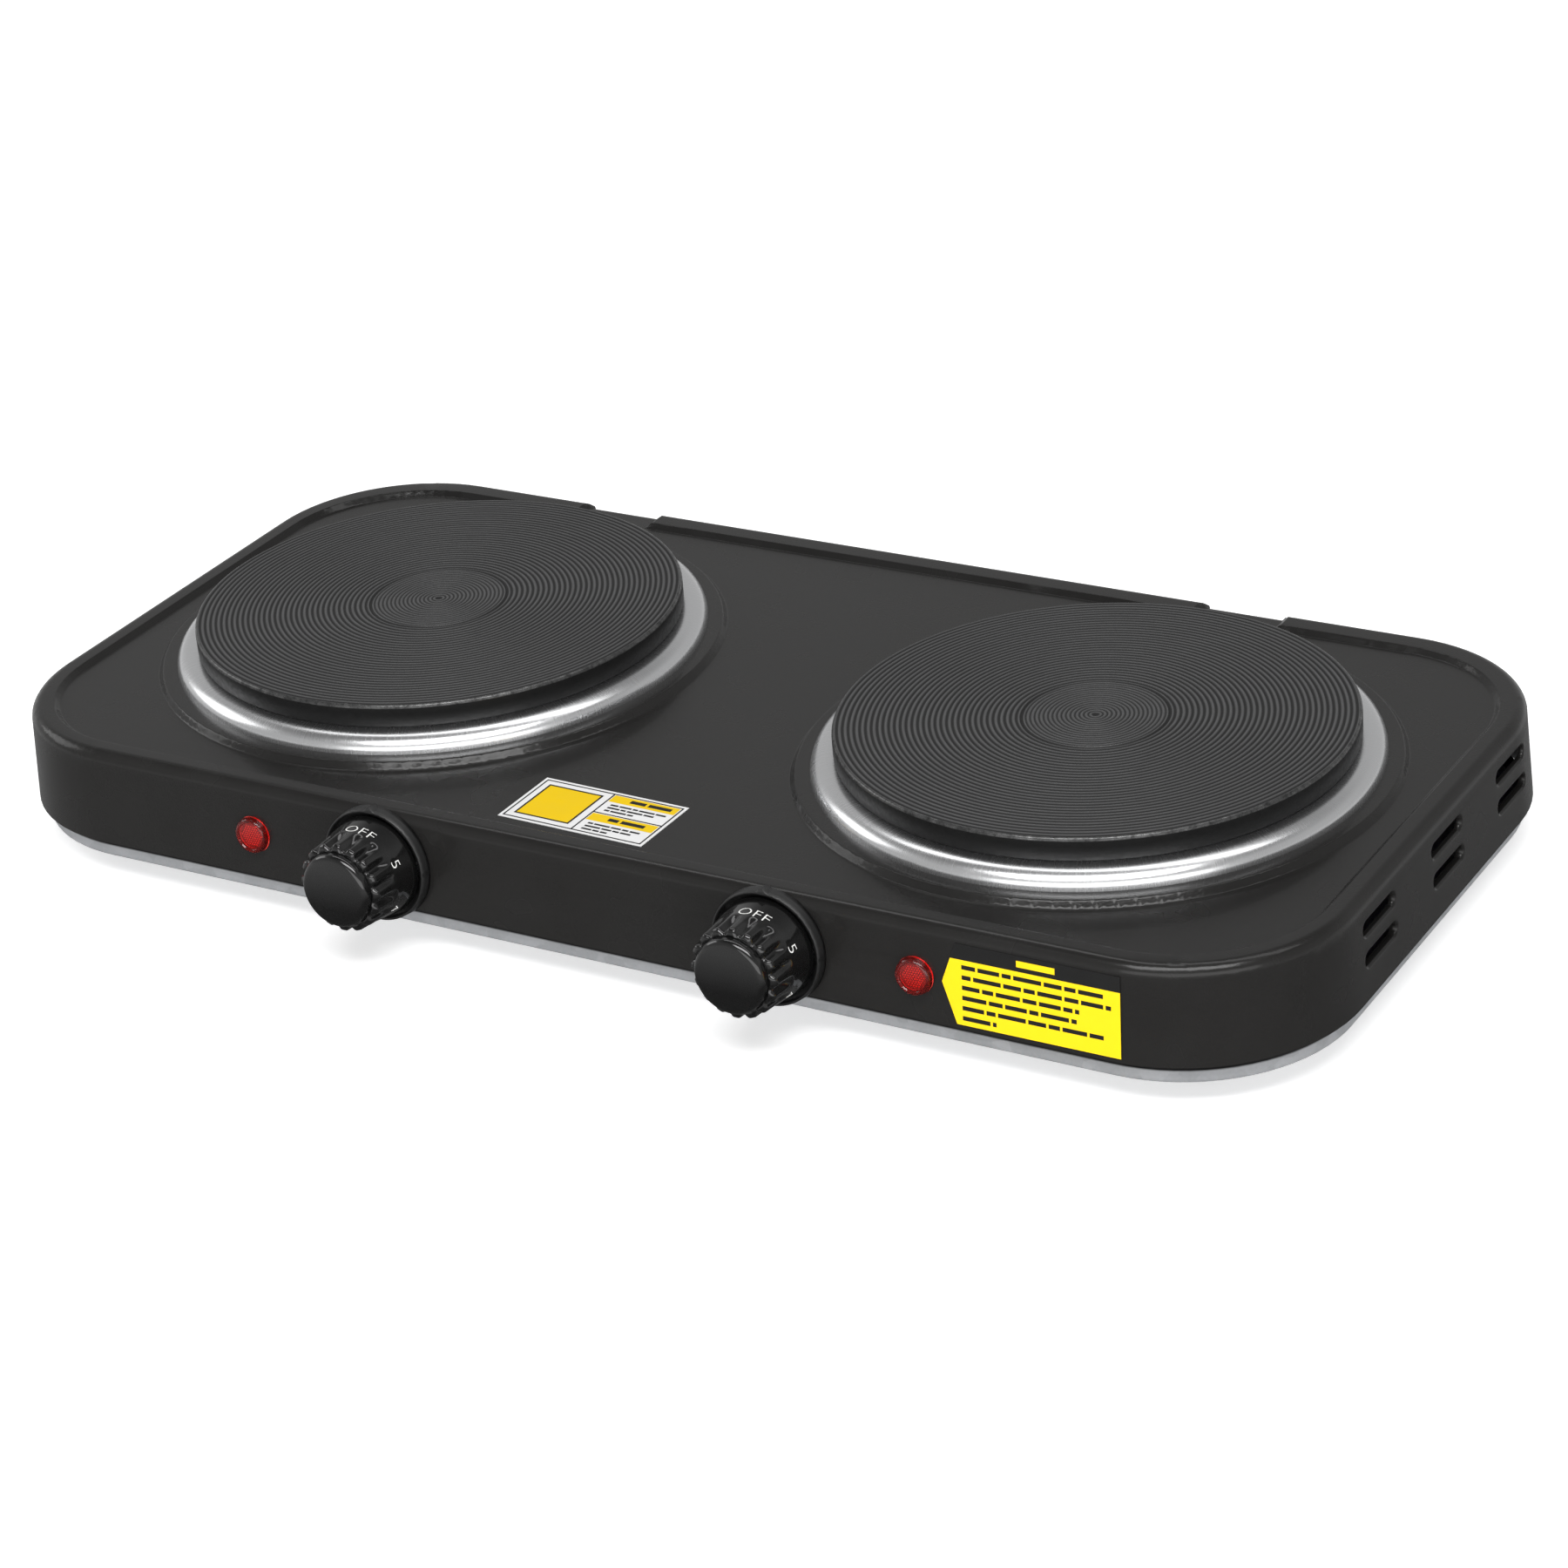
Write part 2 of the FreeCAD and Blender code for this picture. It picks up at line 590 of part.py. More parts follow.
def lamp_lens():
    """The domed lens with its flange and the barrel that goes through the wall."""
    dome = dome_arc(LENS_DOME, LENS_EDGE, LENS_HEIGHT)
    edges = [
        line(LENS_BORE, -BARREL_DEPTH, LENS_BARREL, -BARREL_DEPTH),
        line(LENS_BARREL, -BARREL_DEPTH, LENS_BARREL, 0), line(LENS_BARREL, 0, LENS_RADIUS, 0),
        line(LENS_RADIUS, 0, LENS_RADIUS, LENS_EDGE / 2), line(LENS_RADIUS, LENS_EDGE / 2, 6.2, LENS_EDGE),
        line(6.2, LENS_EDGE, LENS_DOME, LENS_EDGE), dome,
        line(0, LENS_HEIGHT, 0, LENS_EDGE / 2), line(0, LENS_EDGE / 2, LENS_BORE, LENS_EDGE / 2),
        line(LENS_BORE, LENS_EDGE / 2, LENS_BORE, -BARREL_DEPTH),
    ]
    return turned_edges(edges)


def lamp_clip():
    """The push-on ring that holds the lens from inside."""
    return tube(LENS_BARREL + 3, LENS_BARREL, -SHEET - 1.0, -SHEET)


def neon_bulb():
    """The neon bulb and the base that closes the barrel behind it."""
    base = disc(LENS_BORE, -BARREL_DEPTH, -BARREL_DEPTH + 2.5)
    glass = disc(2.4, -BARREL_DEPTH + 2, -3.4)
    return glass.multiFuse([base, Part.makeSphere(2.4, Vector(0, 0, -3.4))])


def cord_bushing():
    """The round bushing that a mains cord leaves through."""
    outline = [
        (BUSHING_BORE, -SHEET - 2.0), (BUSHING_NECK + 0.9, -SHEET - 2.0), (BUSHING_NECK + 0.9, -SHEET),
        (BUSHING_NECK, -SHEET), (BUSHING_NECK, 0), (BUSHING_HEAD, 0), (BUSHING_HEAD, BUSHING_LIP - 0.8),
        (BUSHING_HEAD - 0.8, BUSHING_LIP), (BUSHING_BORE, BUSHING_LIP),
    ]
    return turned(outline)


# Feet, screws, terminals and leads

def rubber_foot():
    """A tapered rubber foot with a recess for its screw."""
    sole = FOOT_RADIUS - 2.2
    foot = turned([(0, 0), (sole, 0), (sole + 0.7, 0.6), (FOOT_RADIUS, FOOT_HEIGHT), (0, FOOT_HEIGHT)])
    recess = disc(4.6, -OVERRUN, 5.2).fuse(disc(1.8, 0, FOOT_HEIGHT + OVERRUN))
    return foot.cut(recess)


def foot_screw():
    """The screw that holds a foot, the base plate and a bracket together."""
    head = disc(3.8, 3.2, 5.2).cut(box(-5, 5, -0.4, 0.4, 2, 4.0))
    return head.fuse(disc(1.8, 5.2, BASE_TOP + 6))


def base_screw():
    """A screw under the middle of the base plate."""
    head = disc(3.8, FOOT_HEIGHT - 2.0, FOOT_HEIGHT).cut(box(-5, 5, -0.4, 0.4, 0, FOOT_HEIGHT - 1.2))
    return head.fuse(disc(1.8, FOOT_HEIGHT, BASE_TOP + 6))


def terminal_block():
    """The ceramic mains terminal block on the base plate."""
    block = box(-22, 22, BLOCK_Y, BLOCK_Y + BLOCK_DEPTH, BASE_TOP, BASE_TOP + 15)
    wells = [disc(2.6, BASE_TOP + 9, BASE_TOP + 16, x, BLOCK_Y + BLOCK_DEPTH / 2) for x in WELLS]
    return block.cut(wells)


def terminal_screws():
    """The clamping screws in the terminal block's wells."""
    return [disc(2.6, BASE_TOP + 9, BASE_TOP + 12.5, x, BLOCK_Y + BLOCK_DEPTH / 2) for x in WELLS]


def side_leads(side):
    """The leads of one side: live and switched, neutral, and the lamp's pair in one sleeve."""
    knob_x, lamp_x = side * KNOB_X, side * LAMP_X
    plate_x = side * (PLATE_SPACING / 2 - TERMINAL_OFFSET)
    back = front_wall_y(CONTROL_Z) + THERMOSTAT_DEPTH + 2.95
    lamp_back = front_wall_y(CONTROL_Z) + BARREL_DEPTH - 0.05
    plate_z = PLATE_SKIRT_Z - TERMINAL_HEIGHT
    control_z, low_z, floor_z = CONTROL_Z - 3, BASE_TOP + 4, BASE_TOP + 1.8
    feed = [(knob_x - 6, back, control_z), (knob_x - 6, -88, control_z), (knob_x - 6, -72, low_z),
            (side * 24, 20, low_z), (side * 14, 38, low_z + 4), (side * 14, BLOCK_Y, low_z + 4)]
    switched = [(knob_x + 6, back, control_z), (knob_x + 6, -86, control_z),
                (plate_x, -60, 26), (plate_x, -12, 26), (plate_x, -12, plate_z)]
    neutral = [(side * 5, BLOCK_Y, floor_z), (side * 5, 42, floor_z), (side * 45, 34, floor_z),
               (plate_x, 12, 22), (plate_x, 12, plate_z)]
    lamp = [(lamp_x, lamp_back, control_z + 2), (lamp_x, -98, 30), (lamp_x - side * 18, -70, 20),
            (plate_x + side * 4, -16, 18), (plate_x + side * 4, 0, 24), (plate_x + side * 4, 0, plate_z)]
    return [lead(feed, 1.5, 6), lead(switched, 1.5, 6), lead(neutral, 1.5, 6), lead(lamp, 1.1, 5)]


def earth_lead():
    """The earth lead from the terminal block to the screw on the base plate."""
    start_y = BLOCK_Y + BLOCK_DEPTH
    route = [(14, start_y, BASE_TOP + 6), (14, 82, BASE_TOP + 6), (22, 92, BASE_TOP + 2), (30.5, 92, BASE_TOP + 2)]
    return lead(route, 1.5, 4)


def earth_screw():
    """The earth screw and its ring tag on the base plate."""
    tag = disc(4.5, BASE_TOP, BASE_TOP + 1.0, 35, 92)
    return tag.fuse(disc(3.4, BASE_TOP + 1.0, BASE_TOP + 3.4, 35, 92))


# Labels, plain and without print

def top_label():
    """A plain label on the top panel, between the plates."""
    label = box(-30, 30, -15.5, 15.5, PANEL_Z, PANEL_Z + LABEL_THICKNESS)
    label.rotate(ORIGIN, UP, -1.5)
    return moved(label, -8.6, -99.8)


def front_label():
    """A plain label on the front wall, pointed towards the right lamp."""
    outline = [(0, 0), (60, 0), (60, 29.5), (0, 29.5), (-5.2, 15)]
    points = [Vector(x, y - 14.6, 0) for x, y in outline]
    label = Part.Face(Part.makePolygon(points + points[:1])).extrude(Vector(0, 0, LABEL_THICKNESS))
    return on_front_wall(label, 150.6)


def write_side(name, side):
    """Writes the nodes that both halves of the appliance have."""
    centre = side * PLATE_SPACING / 2
    knob_x, lamp_x = side * KNOB_X, side * LAMP_X
    write(name + "_hotplate", moved(hotplate(), centre))
    write(name + "_trim_ring", moved(trim_ring(), centre))
    write(name + "_heating_coil", [moved(coil, centre) for coil in heating_coils()])
    write(name + "_refractory_fill", moved(refractory_fill(), centre))
    cover = tube(POCKET_RADIUS, HUB_RADIUS, PLATE_SKIRT_Z, PLATE_SKIRT_Z + COVER_SHEET)
    write(name + "_plate_cover", moved(cover, centre))
    write(name + "_center_stud", disc(STUD_RADIUS, STUD_BOTTOM, PLATE_SKIRT_Z + 6, centre))
    write(name + "_clamp_bridge", moved(clamp_bridge(), centre))
    write(name + "_plate_terminals", moved(plate_terminals(-side), centre))
    write(name + "_knob_collar", on_front_wall(knob_collar(), knob_x))
    write(name + "_knob", on_front_wall(knob(), knob_x))
    write(name + "_knob_clip", on_front_wall(knob_clip(), knob_x))
    write(name + "_thermostat_shaft", on_front_wall(thermostat_shaft(), knob_x))
    write(name + "_thermostat", on_front_wall(thermostat(), knob_x))
    write(name + "_thermostat_bracket", on_front_wall(thermostat_bracket(), knob_x))
    write(name + "_lamp_lens", on_front_wall(lamp_lens(), lamp_x))
    write(name + "_lamp_clip", on_front_wall(lamp_clip(), lamp_x))
    write(name + "_neon_bulb", on_front_wall(neon_bulb(), lamp_x))
    write(name + "_leads", side_leads(side))


def write_shared():
    """Writes the nodes that the appliance has once, and its groups of fasteners."""
    washer_top = BRIDGE_FLOOR_Z - BRIDGE_SHEET
    centres = [side * PLATE_SPACING / 2 for _, side in SIDES]
    write("body_shell", body_shell())
    write("base_plate", base_plate())
    write("support_brackets", brackets())
    write("bridge_washers", [tube(7, STUD_RADIUS, washer_top - 1.2, washer_top, x) for x in centres])
    write("bridge_nuts", [moved(hex_nut(10, 5), x, 0, washer_top - 6.2) for x in centres])
    screws = [on_front_wall(thermostat_screw(s), side * KNOB_X) for _, side in SIDES for s in (-1, 1)]
    write("thermostat_screws", screws)
    write("cord_bushing", on_rear_wall(cord_bushing(), 0, BUSHING_Z))
    corners = bracket_positions()[:4]
    middles = bracket_positions()[4:]
    write("rubber_feet", [moved(rubber_foot(), x, y) for x, y in corners])
    write("foot_screws", [moved(foot_screw(), x, y) for x, y in corners])
    write("base_screws", [moved(base_screw(), x, y) for x, y in middles])
    write("terminal_block", terminal_block())
    write("terminal_screws", terminal_screws())
    write("earth_lead", earth_lead())
    write("earth_screw", earth_screw())
    write("top_label", top_label())
    write("front_label", front_label())


os.makedirs("parts", exist_ok=True)
for side_name, side_sign in SIDES:
    write_side(side_name, side_sign)
write_shared()
print("plan centre y", round(PLAN_CENTRE_Y, 4))
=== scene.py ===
import json
import math

import bmesh
import bpy
from mathutils import Matrix, Vector

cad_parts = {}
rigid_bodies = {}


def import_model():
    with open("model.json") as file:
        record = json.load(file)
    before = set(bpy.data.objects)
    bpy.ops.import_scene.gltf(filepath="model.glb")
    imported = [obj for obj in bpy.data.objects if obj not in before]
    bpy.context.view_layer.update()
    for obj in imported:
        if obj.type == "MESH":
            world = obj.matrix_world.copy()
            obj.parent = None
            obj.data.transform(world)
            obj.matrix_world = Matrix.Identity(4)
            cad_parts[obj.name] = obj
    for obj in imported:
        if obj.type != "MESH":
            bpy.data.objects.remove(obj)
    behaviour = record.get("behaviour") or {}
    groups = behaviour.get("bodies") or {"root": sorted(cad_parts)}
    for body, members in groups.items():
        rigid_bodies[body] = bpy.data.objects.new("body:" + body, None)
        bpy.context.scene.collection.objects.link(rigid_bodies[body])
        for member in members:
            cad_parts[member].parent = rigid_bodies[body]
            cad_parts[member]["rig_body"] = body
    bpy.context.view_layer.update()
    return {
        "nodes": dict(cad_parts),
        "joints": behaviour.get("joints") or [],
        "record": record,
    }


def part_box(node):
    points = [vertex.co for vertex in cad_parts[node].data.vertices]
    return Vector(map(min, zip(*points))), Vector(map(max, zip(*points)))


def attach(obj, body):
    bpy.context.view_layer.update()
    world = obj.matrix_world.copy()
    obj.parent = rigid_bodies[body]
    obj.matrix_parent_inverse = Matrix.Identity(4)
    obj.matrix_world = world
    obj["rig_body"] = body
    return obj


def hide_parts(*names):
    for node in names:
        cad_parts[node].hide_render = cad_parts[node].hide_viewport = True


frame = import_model()

MM = 0.001
MICRON = 0.000001
SIDES = ("left", "right")

# Welding distance between vertices in metres, and the radius in millimetres that counts as none.
WELD_DISTANCE = 2e-6
ON_AXIS = 1e-6

# Camera: where it stands about the middle of the body, and how it is framed. Angles are in degrees.
CAMERA_AZIMUTH = 32.148
CAMERA_ELEVATION = 26.928
CAMERA_ROLL = -4.982
CAMERA_DISTANCE = 1624.68 * MM
CAMERA_SLIDE = (5.911 * MM, 11.094 * MM)
CAMERA_HEIGHT = 3.0 * MM
CAMERA_LENS = 100.64
CAMERA_SENSOR = 36.0
CAMERA_CLIP = (0.05, 50.0)

# Surround: its brightness above the horizon, overhead, just below the horizon and underneath, and the
# heights of a direction between which each gives way to the next.
SURROUND_ABOVE = 0.45
SURROUND_TOP = 0.12
SURROUND_TABLE = 0.66
SURROUND_BELOW = 0.1
TABLE_RISE = (-0.5, -0.2)
HORIZON_FADE = (0.0, 0.12)
TOP_FADE = (0.5, 0.85)

# Floor: its own light, and how far it reaches each way in metres.
FLOOR_GLOW = 0.5
FLOOR_REACH = 6.0

# Soft lights, as (name, place, size, power) in metres and watts. All of them face the target.
LIGHT_TARGET = (0.0, 0.0, 0.05)
LIGHTS = (
    ("rear_strip", (0.0, 0.5, 1.7), (2.4, 0.42), 8.0),
    ("front_box", (0.9, -1.6, 0.43), (3.0, 0.8), 15.0),
    ("high_box", (0.45, -0.85, 1.62), (1.6, 0.7), 28.0),
    ("left_box", (-1.8, -0.2, 0.95), (1.0, 0.8), 5.0),
)

# The top of a hot plate, in millimetres from its axis and down from its highest level. Samples are the
# points across one groove. The iron is rubbed bright by wear above the full-rub depth and not at all
# below the no-rub depth, where its grooves are darkened with painted shade.
PLATE_RADIUS = 92.5
PLATE_CHAMFER = 0.8
GROOVE_PITCH = 2.03
GROOVE_DEPTH = 0.36
GROOVE_SAMPLES = 7
INNER_RADIUS = 25.2
INNER_PITCH = 1.56
INNER_DEPTH = 0.28
INNER_SAMPLES = 6
INNER_STEP = 1.5
STEP_DEPTH = 1.6 * GROOVE_DEPTH
DIMPLE_RADIUS = 1.7
DIMPLE_DEPTH = 0.45
DIMPLE_RIM = 0.05
FIRST_SAMPLE = 0.45
LAST_MARGIN = 0.3
RUB_NONE_SHADE_FULL = GROOVE_DEPTH * 0.75
RUB_FULL_SHADE_NONE = 0.04

# A hot plate's edge, as (outward, down) from the chamfer's inner and outer ends and (outward, up) from
# the seat, then the skirt and the hub under it, all in millimetres.
CHAMFER_START = ((-0.15, 0.0), (0.0, 0.02), (0.35, 0.22))
CHAMFER_END = ((-0.05, 0.75), (0.0, 1.3))
SEAT_EDGE = ((0.0, 2.3), (-0.15, 2.0), (-0.15, 1.0), (-0.8, 0.0))
SKIRT_HEIGHT = 8.0
SKIRT_OUTER = 88.0
SKIRT_INNER = 83.0
RECESS = 0.5
HUB_RADIUS = 12.0
BORE_RADIUS = 3.0
BORE_DEPTH = 6.0

# Where the plate's materials meet: how far down its side begins, and how far in its bright edge does.
SIDE_DROP = 1.1
EDGE_MARGIN = 0.1

# Trim rings, in millimetres: radii, sheet and how far the underside starts in, then the number of
# steps round the rolled shoulder and the powers that shape it across and down.
RING_INNER = 91.0
RING_LIP = 91.9
RING_SHOULDER = 92.9
RING_OUTER = 101.1
RING_SHEET = 0.6
RING_TUCK = 0.2
RING_STEPS = 14
RING_ACROSS = 0.92
RING_DOWN = 0.85

# Facets round a plate or ring, a lens and a lamp's backing.
TURNS = 192
LENS_TURNS = 64
BACKING_TURNS = 40

# Knobs, in millimetres. Offsets are outward from the front wall.
KNOB_BACK = 3.4
KNOB_LENGTH = 29.58
GRIP_END = 25.2
GRIP_ROWS = 34
KNOB_WIDTHS = ((KNOB_BACK, 18.8), (12.0, 17.5), (18.0, 16.9), (24.0, 16.6), (GRIP_END, 16.1))
KNOB_MOUTH = 16.6
HOLLOW_END = 22.5
KNOB_HOLLOW = ((15.0, 12.0), (12.0, HOLLOW_END), (3.1, HOLLOW_END))

# Rounded edges of a knob, as (offset, inset) from the back and from the grip's end, and the band that
# the back's edge takes up.
SKIRT_EDGE = ((0.0, 0.5), (0.25, 0.12), (0.7, 0.0))
GRIP_EDGE = ((-0.35, 0.15), (0.0, 0.6), (0.15, 1.2))
EDGE_BAND = 0.7

# Flutes: their number and facets, extent and depth in millimetres, the power that deepens them, half a
# flute's width as a share of the pitch, and the power that rounds it.
FLUTES = 16
FLUTE_FACETS = 14
KNOB_COLUMNS = FLUTES * FLUTE_FACETS
FLUTE_START = 14.6
FLUTE_END = 22.0
FLUTE_DEPTH = 1.9
FLUTE_RUN = 2.2
FLUTE_HALF = 0.34
FLUTE_ROUND = 0.75

# The knob's cap, in millimetres. Its foot is (outward, offset) from the cap's radius and grip's end.
CAP_RADIUS = 13.8
CAP_FOOT = ((0.35, 0.2), (0.0, 0.0), (0.0, 0.6))
CAP_FLAT = 11.9
CAP_CROWN = 0.9
CAP_EDGE = 2.1
CAP_EDGE_STEPS = 8
CAP_DOME_STEPS = 10

# Dial marks: millimetres, degrees for the lead and step, and shares of the letters' own size.
DIAL_MARKS = ("OFF", "5", "4", "3", "2", "1")
DIAL_STEP = 60.0
MARK_LEAD = 6.0
MARK_OFFSET = 12.6
MARK_HEIGHT = 4.1
MARK_STRETCH = 1.22
MARK_LIFT = 0.03
CAPITAL_HEIGHT = 0.73
LETTER_THINNING = -0.013
LETTER_SPACING = 1.1
LETTER_CURVES = 4

# Pilot lamps, in millimetres: the dome and the steps across it and the rim, the rounded rim, and the
# flange and barrel as (radius, height).
LENS_DISH = 5.0
LENS_FACE = 2.5
LENS_DOME = 0.35
LENS_STEPS = 6
RIM_FLAT = 0.3
RIM_RADIUS = 1.3
RIM_FOOT = 1.6
LENS_BACK = ((6.85, 0.9), (6.9, 0.05), (5.9, 0.0), (5.9, -11.9), (4.8, -11.9), (4.8, 1.2), (0.0, 1.2))

# The studs behind a lens and their backing, in millimetres.
LATTICE_RADIUS = 4.1
LATTICE_PITCH = 0.95
LATTICE_ROWS = 5
STUD_RADIUS = 0.33
STUD_FOOT = 0.82
STUD_SIDES = 6
BACKING_RADIUS = 4.6
BACKING_SHEET = 0.6

# The base plate's painted shade under the body's edge, in millimetres below that edge: where it starts to
# fade and is gone.
SHADE_START = 2.6
SHADE_END = 3.3

# The top label, in millimetres from its middle. Rectangles are (x0, y0, x1, y1), headings are
# (x, y, length, first bar), and each block of text is (x, y, rows' shortening, first bar).
TOP_HALF = (28.9, 14.4)
TOP_RULE = 0.65
TOP_TILT = -1.5
TOP_BANDS = ((0.6, 8.6, 27.9, 13.5), (0.6, -5.8, 27.9, -0.7))
TOP_PICTURE = (-26.0, -11.5, -3.0, 11.5)
TOP_PICTURE_RULE = 0.8
TOP_HEADINGS = ((8.5, 11.1, 17.0, 0), (8.5, -3.2, 15.0, 2))
TOP_HEADING_BARS = 2.0
TOP_TEXTS = ((3.0, 6.6, 0.0, 0), (3.0, -7.8, 1.5, 2))
TOP_ROWS = (23.0, 20.5, 12.0)
TOP_ROW_PITCH = 2.1
TOP_ROW_BARS = 1.0
TOP_INK = 0.02
TOP_TEXT_INK = 0.04

# The front label, in millimetres from the middle of its left edge, beside its point. The heading is
# (x, y, length, height of bars, first bar).
LABEL_WIDTH = 60.0
LABEL_HEIGHT = 29.5
LABEL_POINT = 5.2
HEADING_FOOT = 9.2
HEADING = (22.5, 12.0, 14.0, 2.3, 3)
FRONT_ROWS = (53.0, 54.5, 43.0, 42.0, 52.0, 12.5)
FRONT_ROW_START = (2.2, 6.6)
FRONT_ROW_PITCH = 3.75
FRONT_ROW_BARS = 1.6
FRONT_INK = 0.23
FRONT_TEXT_INK = 0.25

# The bars that stand for words: their lengths and the gap between them in bar heights, and how much
# room a row must have left for another bar, in millimetres.
DASHES = (3.2, 5.0, 2.1, 6.4, 4.1, 2.6, 5.6)
DASH_GAP = 0.55
LAST_DASH = 1


# Mesh tools

def new_piece(name, vertices, faces, body, materials, smooth_angle=35.0, place=None):
    """A mesh piece in metres that rides on a body. A place matrix is worked into its vertices."""
    mesh = bpy.data.meshes.new(name)
    mesh.from_pydata(vertices, [], faces)
    mesh.validate()
    if place:
        mesh.transform(place)
    piece = bpy.data.objects.new(name, mesh)
    bpy.context.scene.collection.objects.link(piece)
    finish_mesh(mesh, smooth_angle)
    for made in materials:
        mesh.materials.append(made)
    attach(piece, body)
    return piece


def finish_mesh(mesh, smooth_angle):
    """Outward faces and smooth shading that stops at real edges."""
    tidy = bmesh.new()
    tidy.from_mesh(mesh)
    bmesh.ops.recalc_face_normals(tidy, faces=tidy.faces)
    tidy.to_mesh(mesh)
    tidy.free()
    mesh.polygons.foreach_set("use_smooth", [True] * len(mesh.polygons))
    mesh.set_sharp_from_angle(angle=math.radians(smooth_angle))


def smooth_copy(node, name, material, smooth_angle=30.0):
    """A welded, smoothly shaded copy of a CAD node that stands for it."""
    source = frame["nodes"][node]
    body = source["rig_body"]
    mesh = source.data.copy()
    mesh.name = name
    mesh.materials.clear()
    mesh.materials.append(material)
    tidy = bmesh.new()
    tidy.from_mesh(mesh)
    bmesh.ops.remove_doubles(tidy, verts=tidy.verts, dist=WELD_DISTANCE)
    tidy.to_mesh(mesh)
    tidy.free()
    if mesh.has_custom_normals:
        mesh.normals_split_custom_set([(0, 0, 0)] * len(mesh.loops))
    mesh.polygons.foreach_set("material_index", [0] * len(mesh.polygons))
    mesh.polygons.foreach_set("use_smooth", [True] * len(mesh.polygons))
    mesh.set_sharp_from_angle(angle=math.radians(smooth_angle))
    piece = bpy.data.objects.new(name, mesh)
    bpy.context.scene.collection.objects.link(piece)
    weigh = piece.modifiers.new("even_flats", "WEIGHTED_NORMAL")
    weigh.keep_sharp = True
    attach(piece, body)
    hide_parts(node)
    return piece


def slot_of(node):
    """The record's material slot of a CAD node."""
    return next(part["material_slot"] for part in frame["record"]["subparts"] if part["node"] == node)


def lathe(profile, segments):
    """Vertices and faces of a closed (radius, height) outline turned about Z, in millimetres."""
    vertices, faces, rows = [], [], []
    for radius, height in profile:
        if radius < ON_AXIS:
            rows.append([len(vertices)] * segments)
            vertices.append((0.0, 0.0, height * MM))
            continue
        rows.append(list(range(len(vertices), len(vertices) + segments)))
        for turn in range(segments):
            angle = 2 * math.pi * turn / segments
            vertices.append((radius * MM * math.cos(angle), radius * MM * math.sin(angle), height * MM))
    for row, following in zip(rows, rows[1:] + rows[:1]):
        for turn in range(segments):
            after = (turn + 1) % segments
            corners = [row[turn], row[after], following[after], following[turn]]
            corners = list(dict.fromkeys(corners))
            if len(corners) > 2:
                faces.append(corners)
    return vertices, faces


def centre_of(node):
    """The middle of a node's box."""
    low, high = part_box(node)
    return (low + high) / 2


# Material tools

def new_material(name, colour, roughness, metallic=0.0, specular=0.5):
    """A material with its shader and object coordinates: (material, tree, shader, coordinates)."""
    made = bpy.data.materials.new(name)
    made.use_nodes = True
    tree = made.node_tree
    shader = tree.nodes["Principled BSDF"]
    shader.inputs["Base Color"].default_value = (*colour, 1.0)
    shader.inputs["Roughness"].default_value = roughness
    shader.inputs["Metallic"].default_value = metallic
    shader.inputs["Specular IOR Level"].default_value = specular
    coordinates = tree.nodes.new("ShaderNodeTexCoord").outputs["Object"]
    return made, tree, shader, coordinates


def add_coat(shader, weight, roughness):
    """A thin clear skin over a shader, which sharpens its highlights."""
    shader.inputs["Coat Weight"].default_value = weight
    shader.inputs["Coat Roughness"].default_value = roughness


def link(tree, source, target):
    """Joins two sockets."""
    tree.links.new(source, target)


def noise(tree, coordinates, scale, detail=3.0, roughness=0.55):
    """A noise texture's value, with scale in features per metre."""
    made = tree.nodes.new("ShaderNodeTexNoise")
    made.inputs["Scale"].default_value = scale
    made.inputs["Detail"].default_value = detail
    made.inputs["Roughness"].default_value = roughness
    link(tree, coordinates, made.inputs["Vector"])
    return made.outputs["Fac"]


def spread(tree, value, low, high, start=0.3, stop=0.7):
    """The value's middle range stretched to run from low to high."""
    made = tree.nodes.new("ShaderNodeMapRange")
    made.inputs["From Min"].default_value = start
    made.inputs["From Max"].default_value = stop
    made.inputs["To Min"].default_value = low
    made.inputs["To Max"].default_value = high
    link(tree, value, made.inputs["Value"])
    return made.outputs["Result"]


def blend_colours(tree, factor, first, second):
    """A colour that runs from first to second. The second is a colour or a socket."""
    made = tree.nodes.new("ShaderNodeMix")
    made.data_type = "RGBA"
    made.inputs["A"].default_value = (*first, 1.0)
    if isinstance(second, tuple):
        made.inputs["B"].default_value = (*second, 1.0)
    else:
        link(tree, second, made.inputs["B"])
    link(tree, factor, made.inputs["Factor"])
    return made.outputs["Result"]


def vary_colour(tree, shader, factor, first, second):
    """A shader's colour, running from first to second."""
    link(tree, blend_colours(tree, factor, first, second), shader.inputs["Base Color"])


def vary_roughness(tree, shader, value, low, high, start=0.3, stop=0.7):
    """A shader's roughness, from low to high over the value's middle range."""
    link(tree, spread(tree, value, low, high, start, stop), shader.inputs["Roughness"])


def add_bump(tree, shader, heights):
    """Stacks bumps, each (value, depth in microns), into the shader's normal."""
    normal = None
    for value, depth in heights:
        made = tree.nodes.new("ShaderNodeBump")
        made.inputs["Strength"].default_value = 1.0
        made.inputs["Distance"].default_value = depth * MICRON
        link(tree, value, made.inputs["Height"])
        if normal:
            link(tree, normal, made.inputs["Normal"])
        normal = made.outputs["Normal"]
    link(tree, normal, shader.inputs["Normal"])


def maths(tree, operation, first, second=0.0):
    """A maths node's value. The second input is a number or a socket."""
    made = tree.nodes.new("ShaderNodeMath")
    made.operation = operation
    link(tree, first, made.inputs[0])
    if isinstance(second, (int, float)):
        made.inputs[1].default_value = second
    else:
        link(tree, second, made.inputs[1])
    return made.outputs["Value"]


def split_axes(tree, coordinates):
    """The three parts of some coordinates, as sockets."""
    split = tree.nodes.new("ShaderNodeSeparateXYZ")
    link(tree, coordinates, split.inputs["Vector"])
    return split.outputs


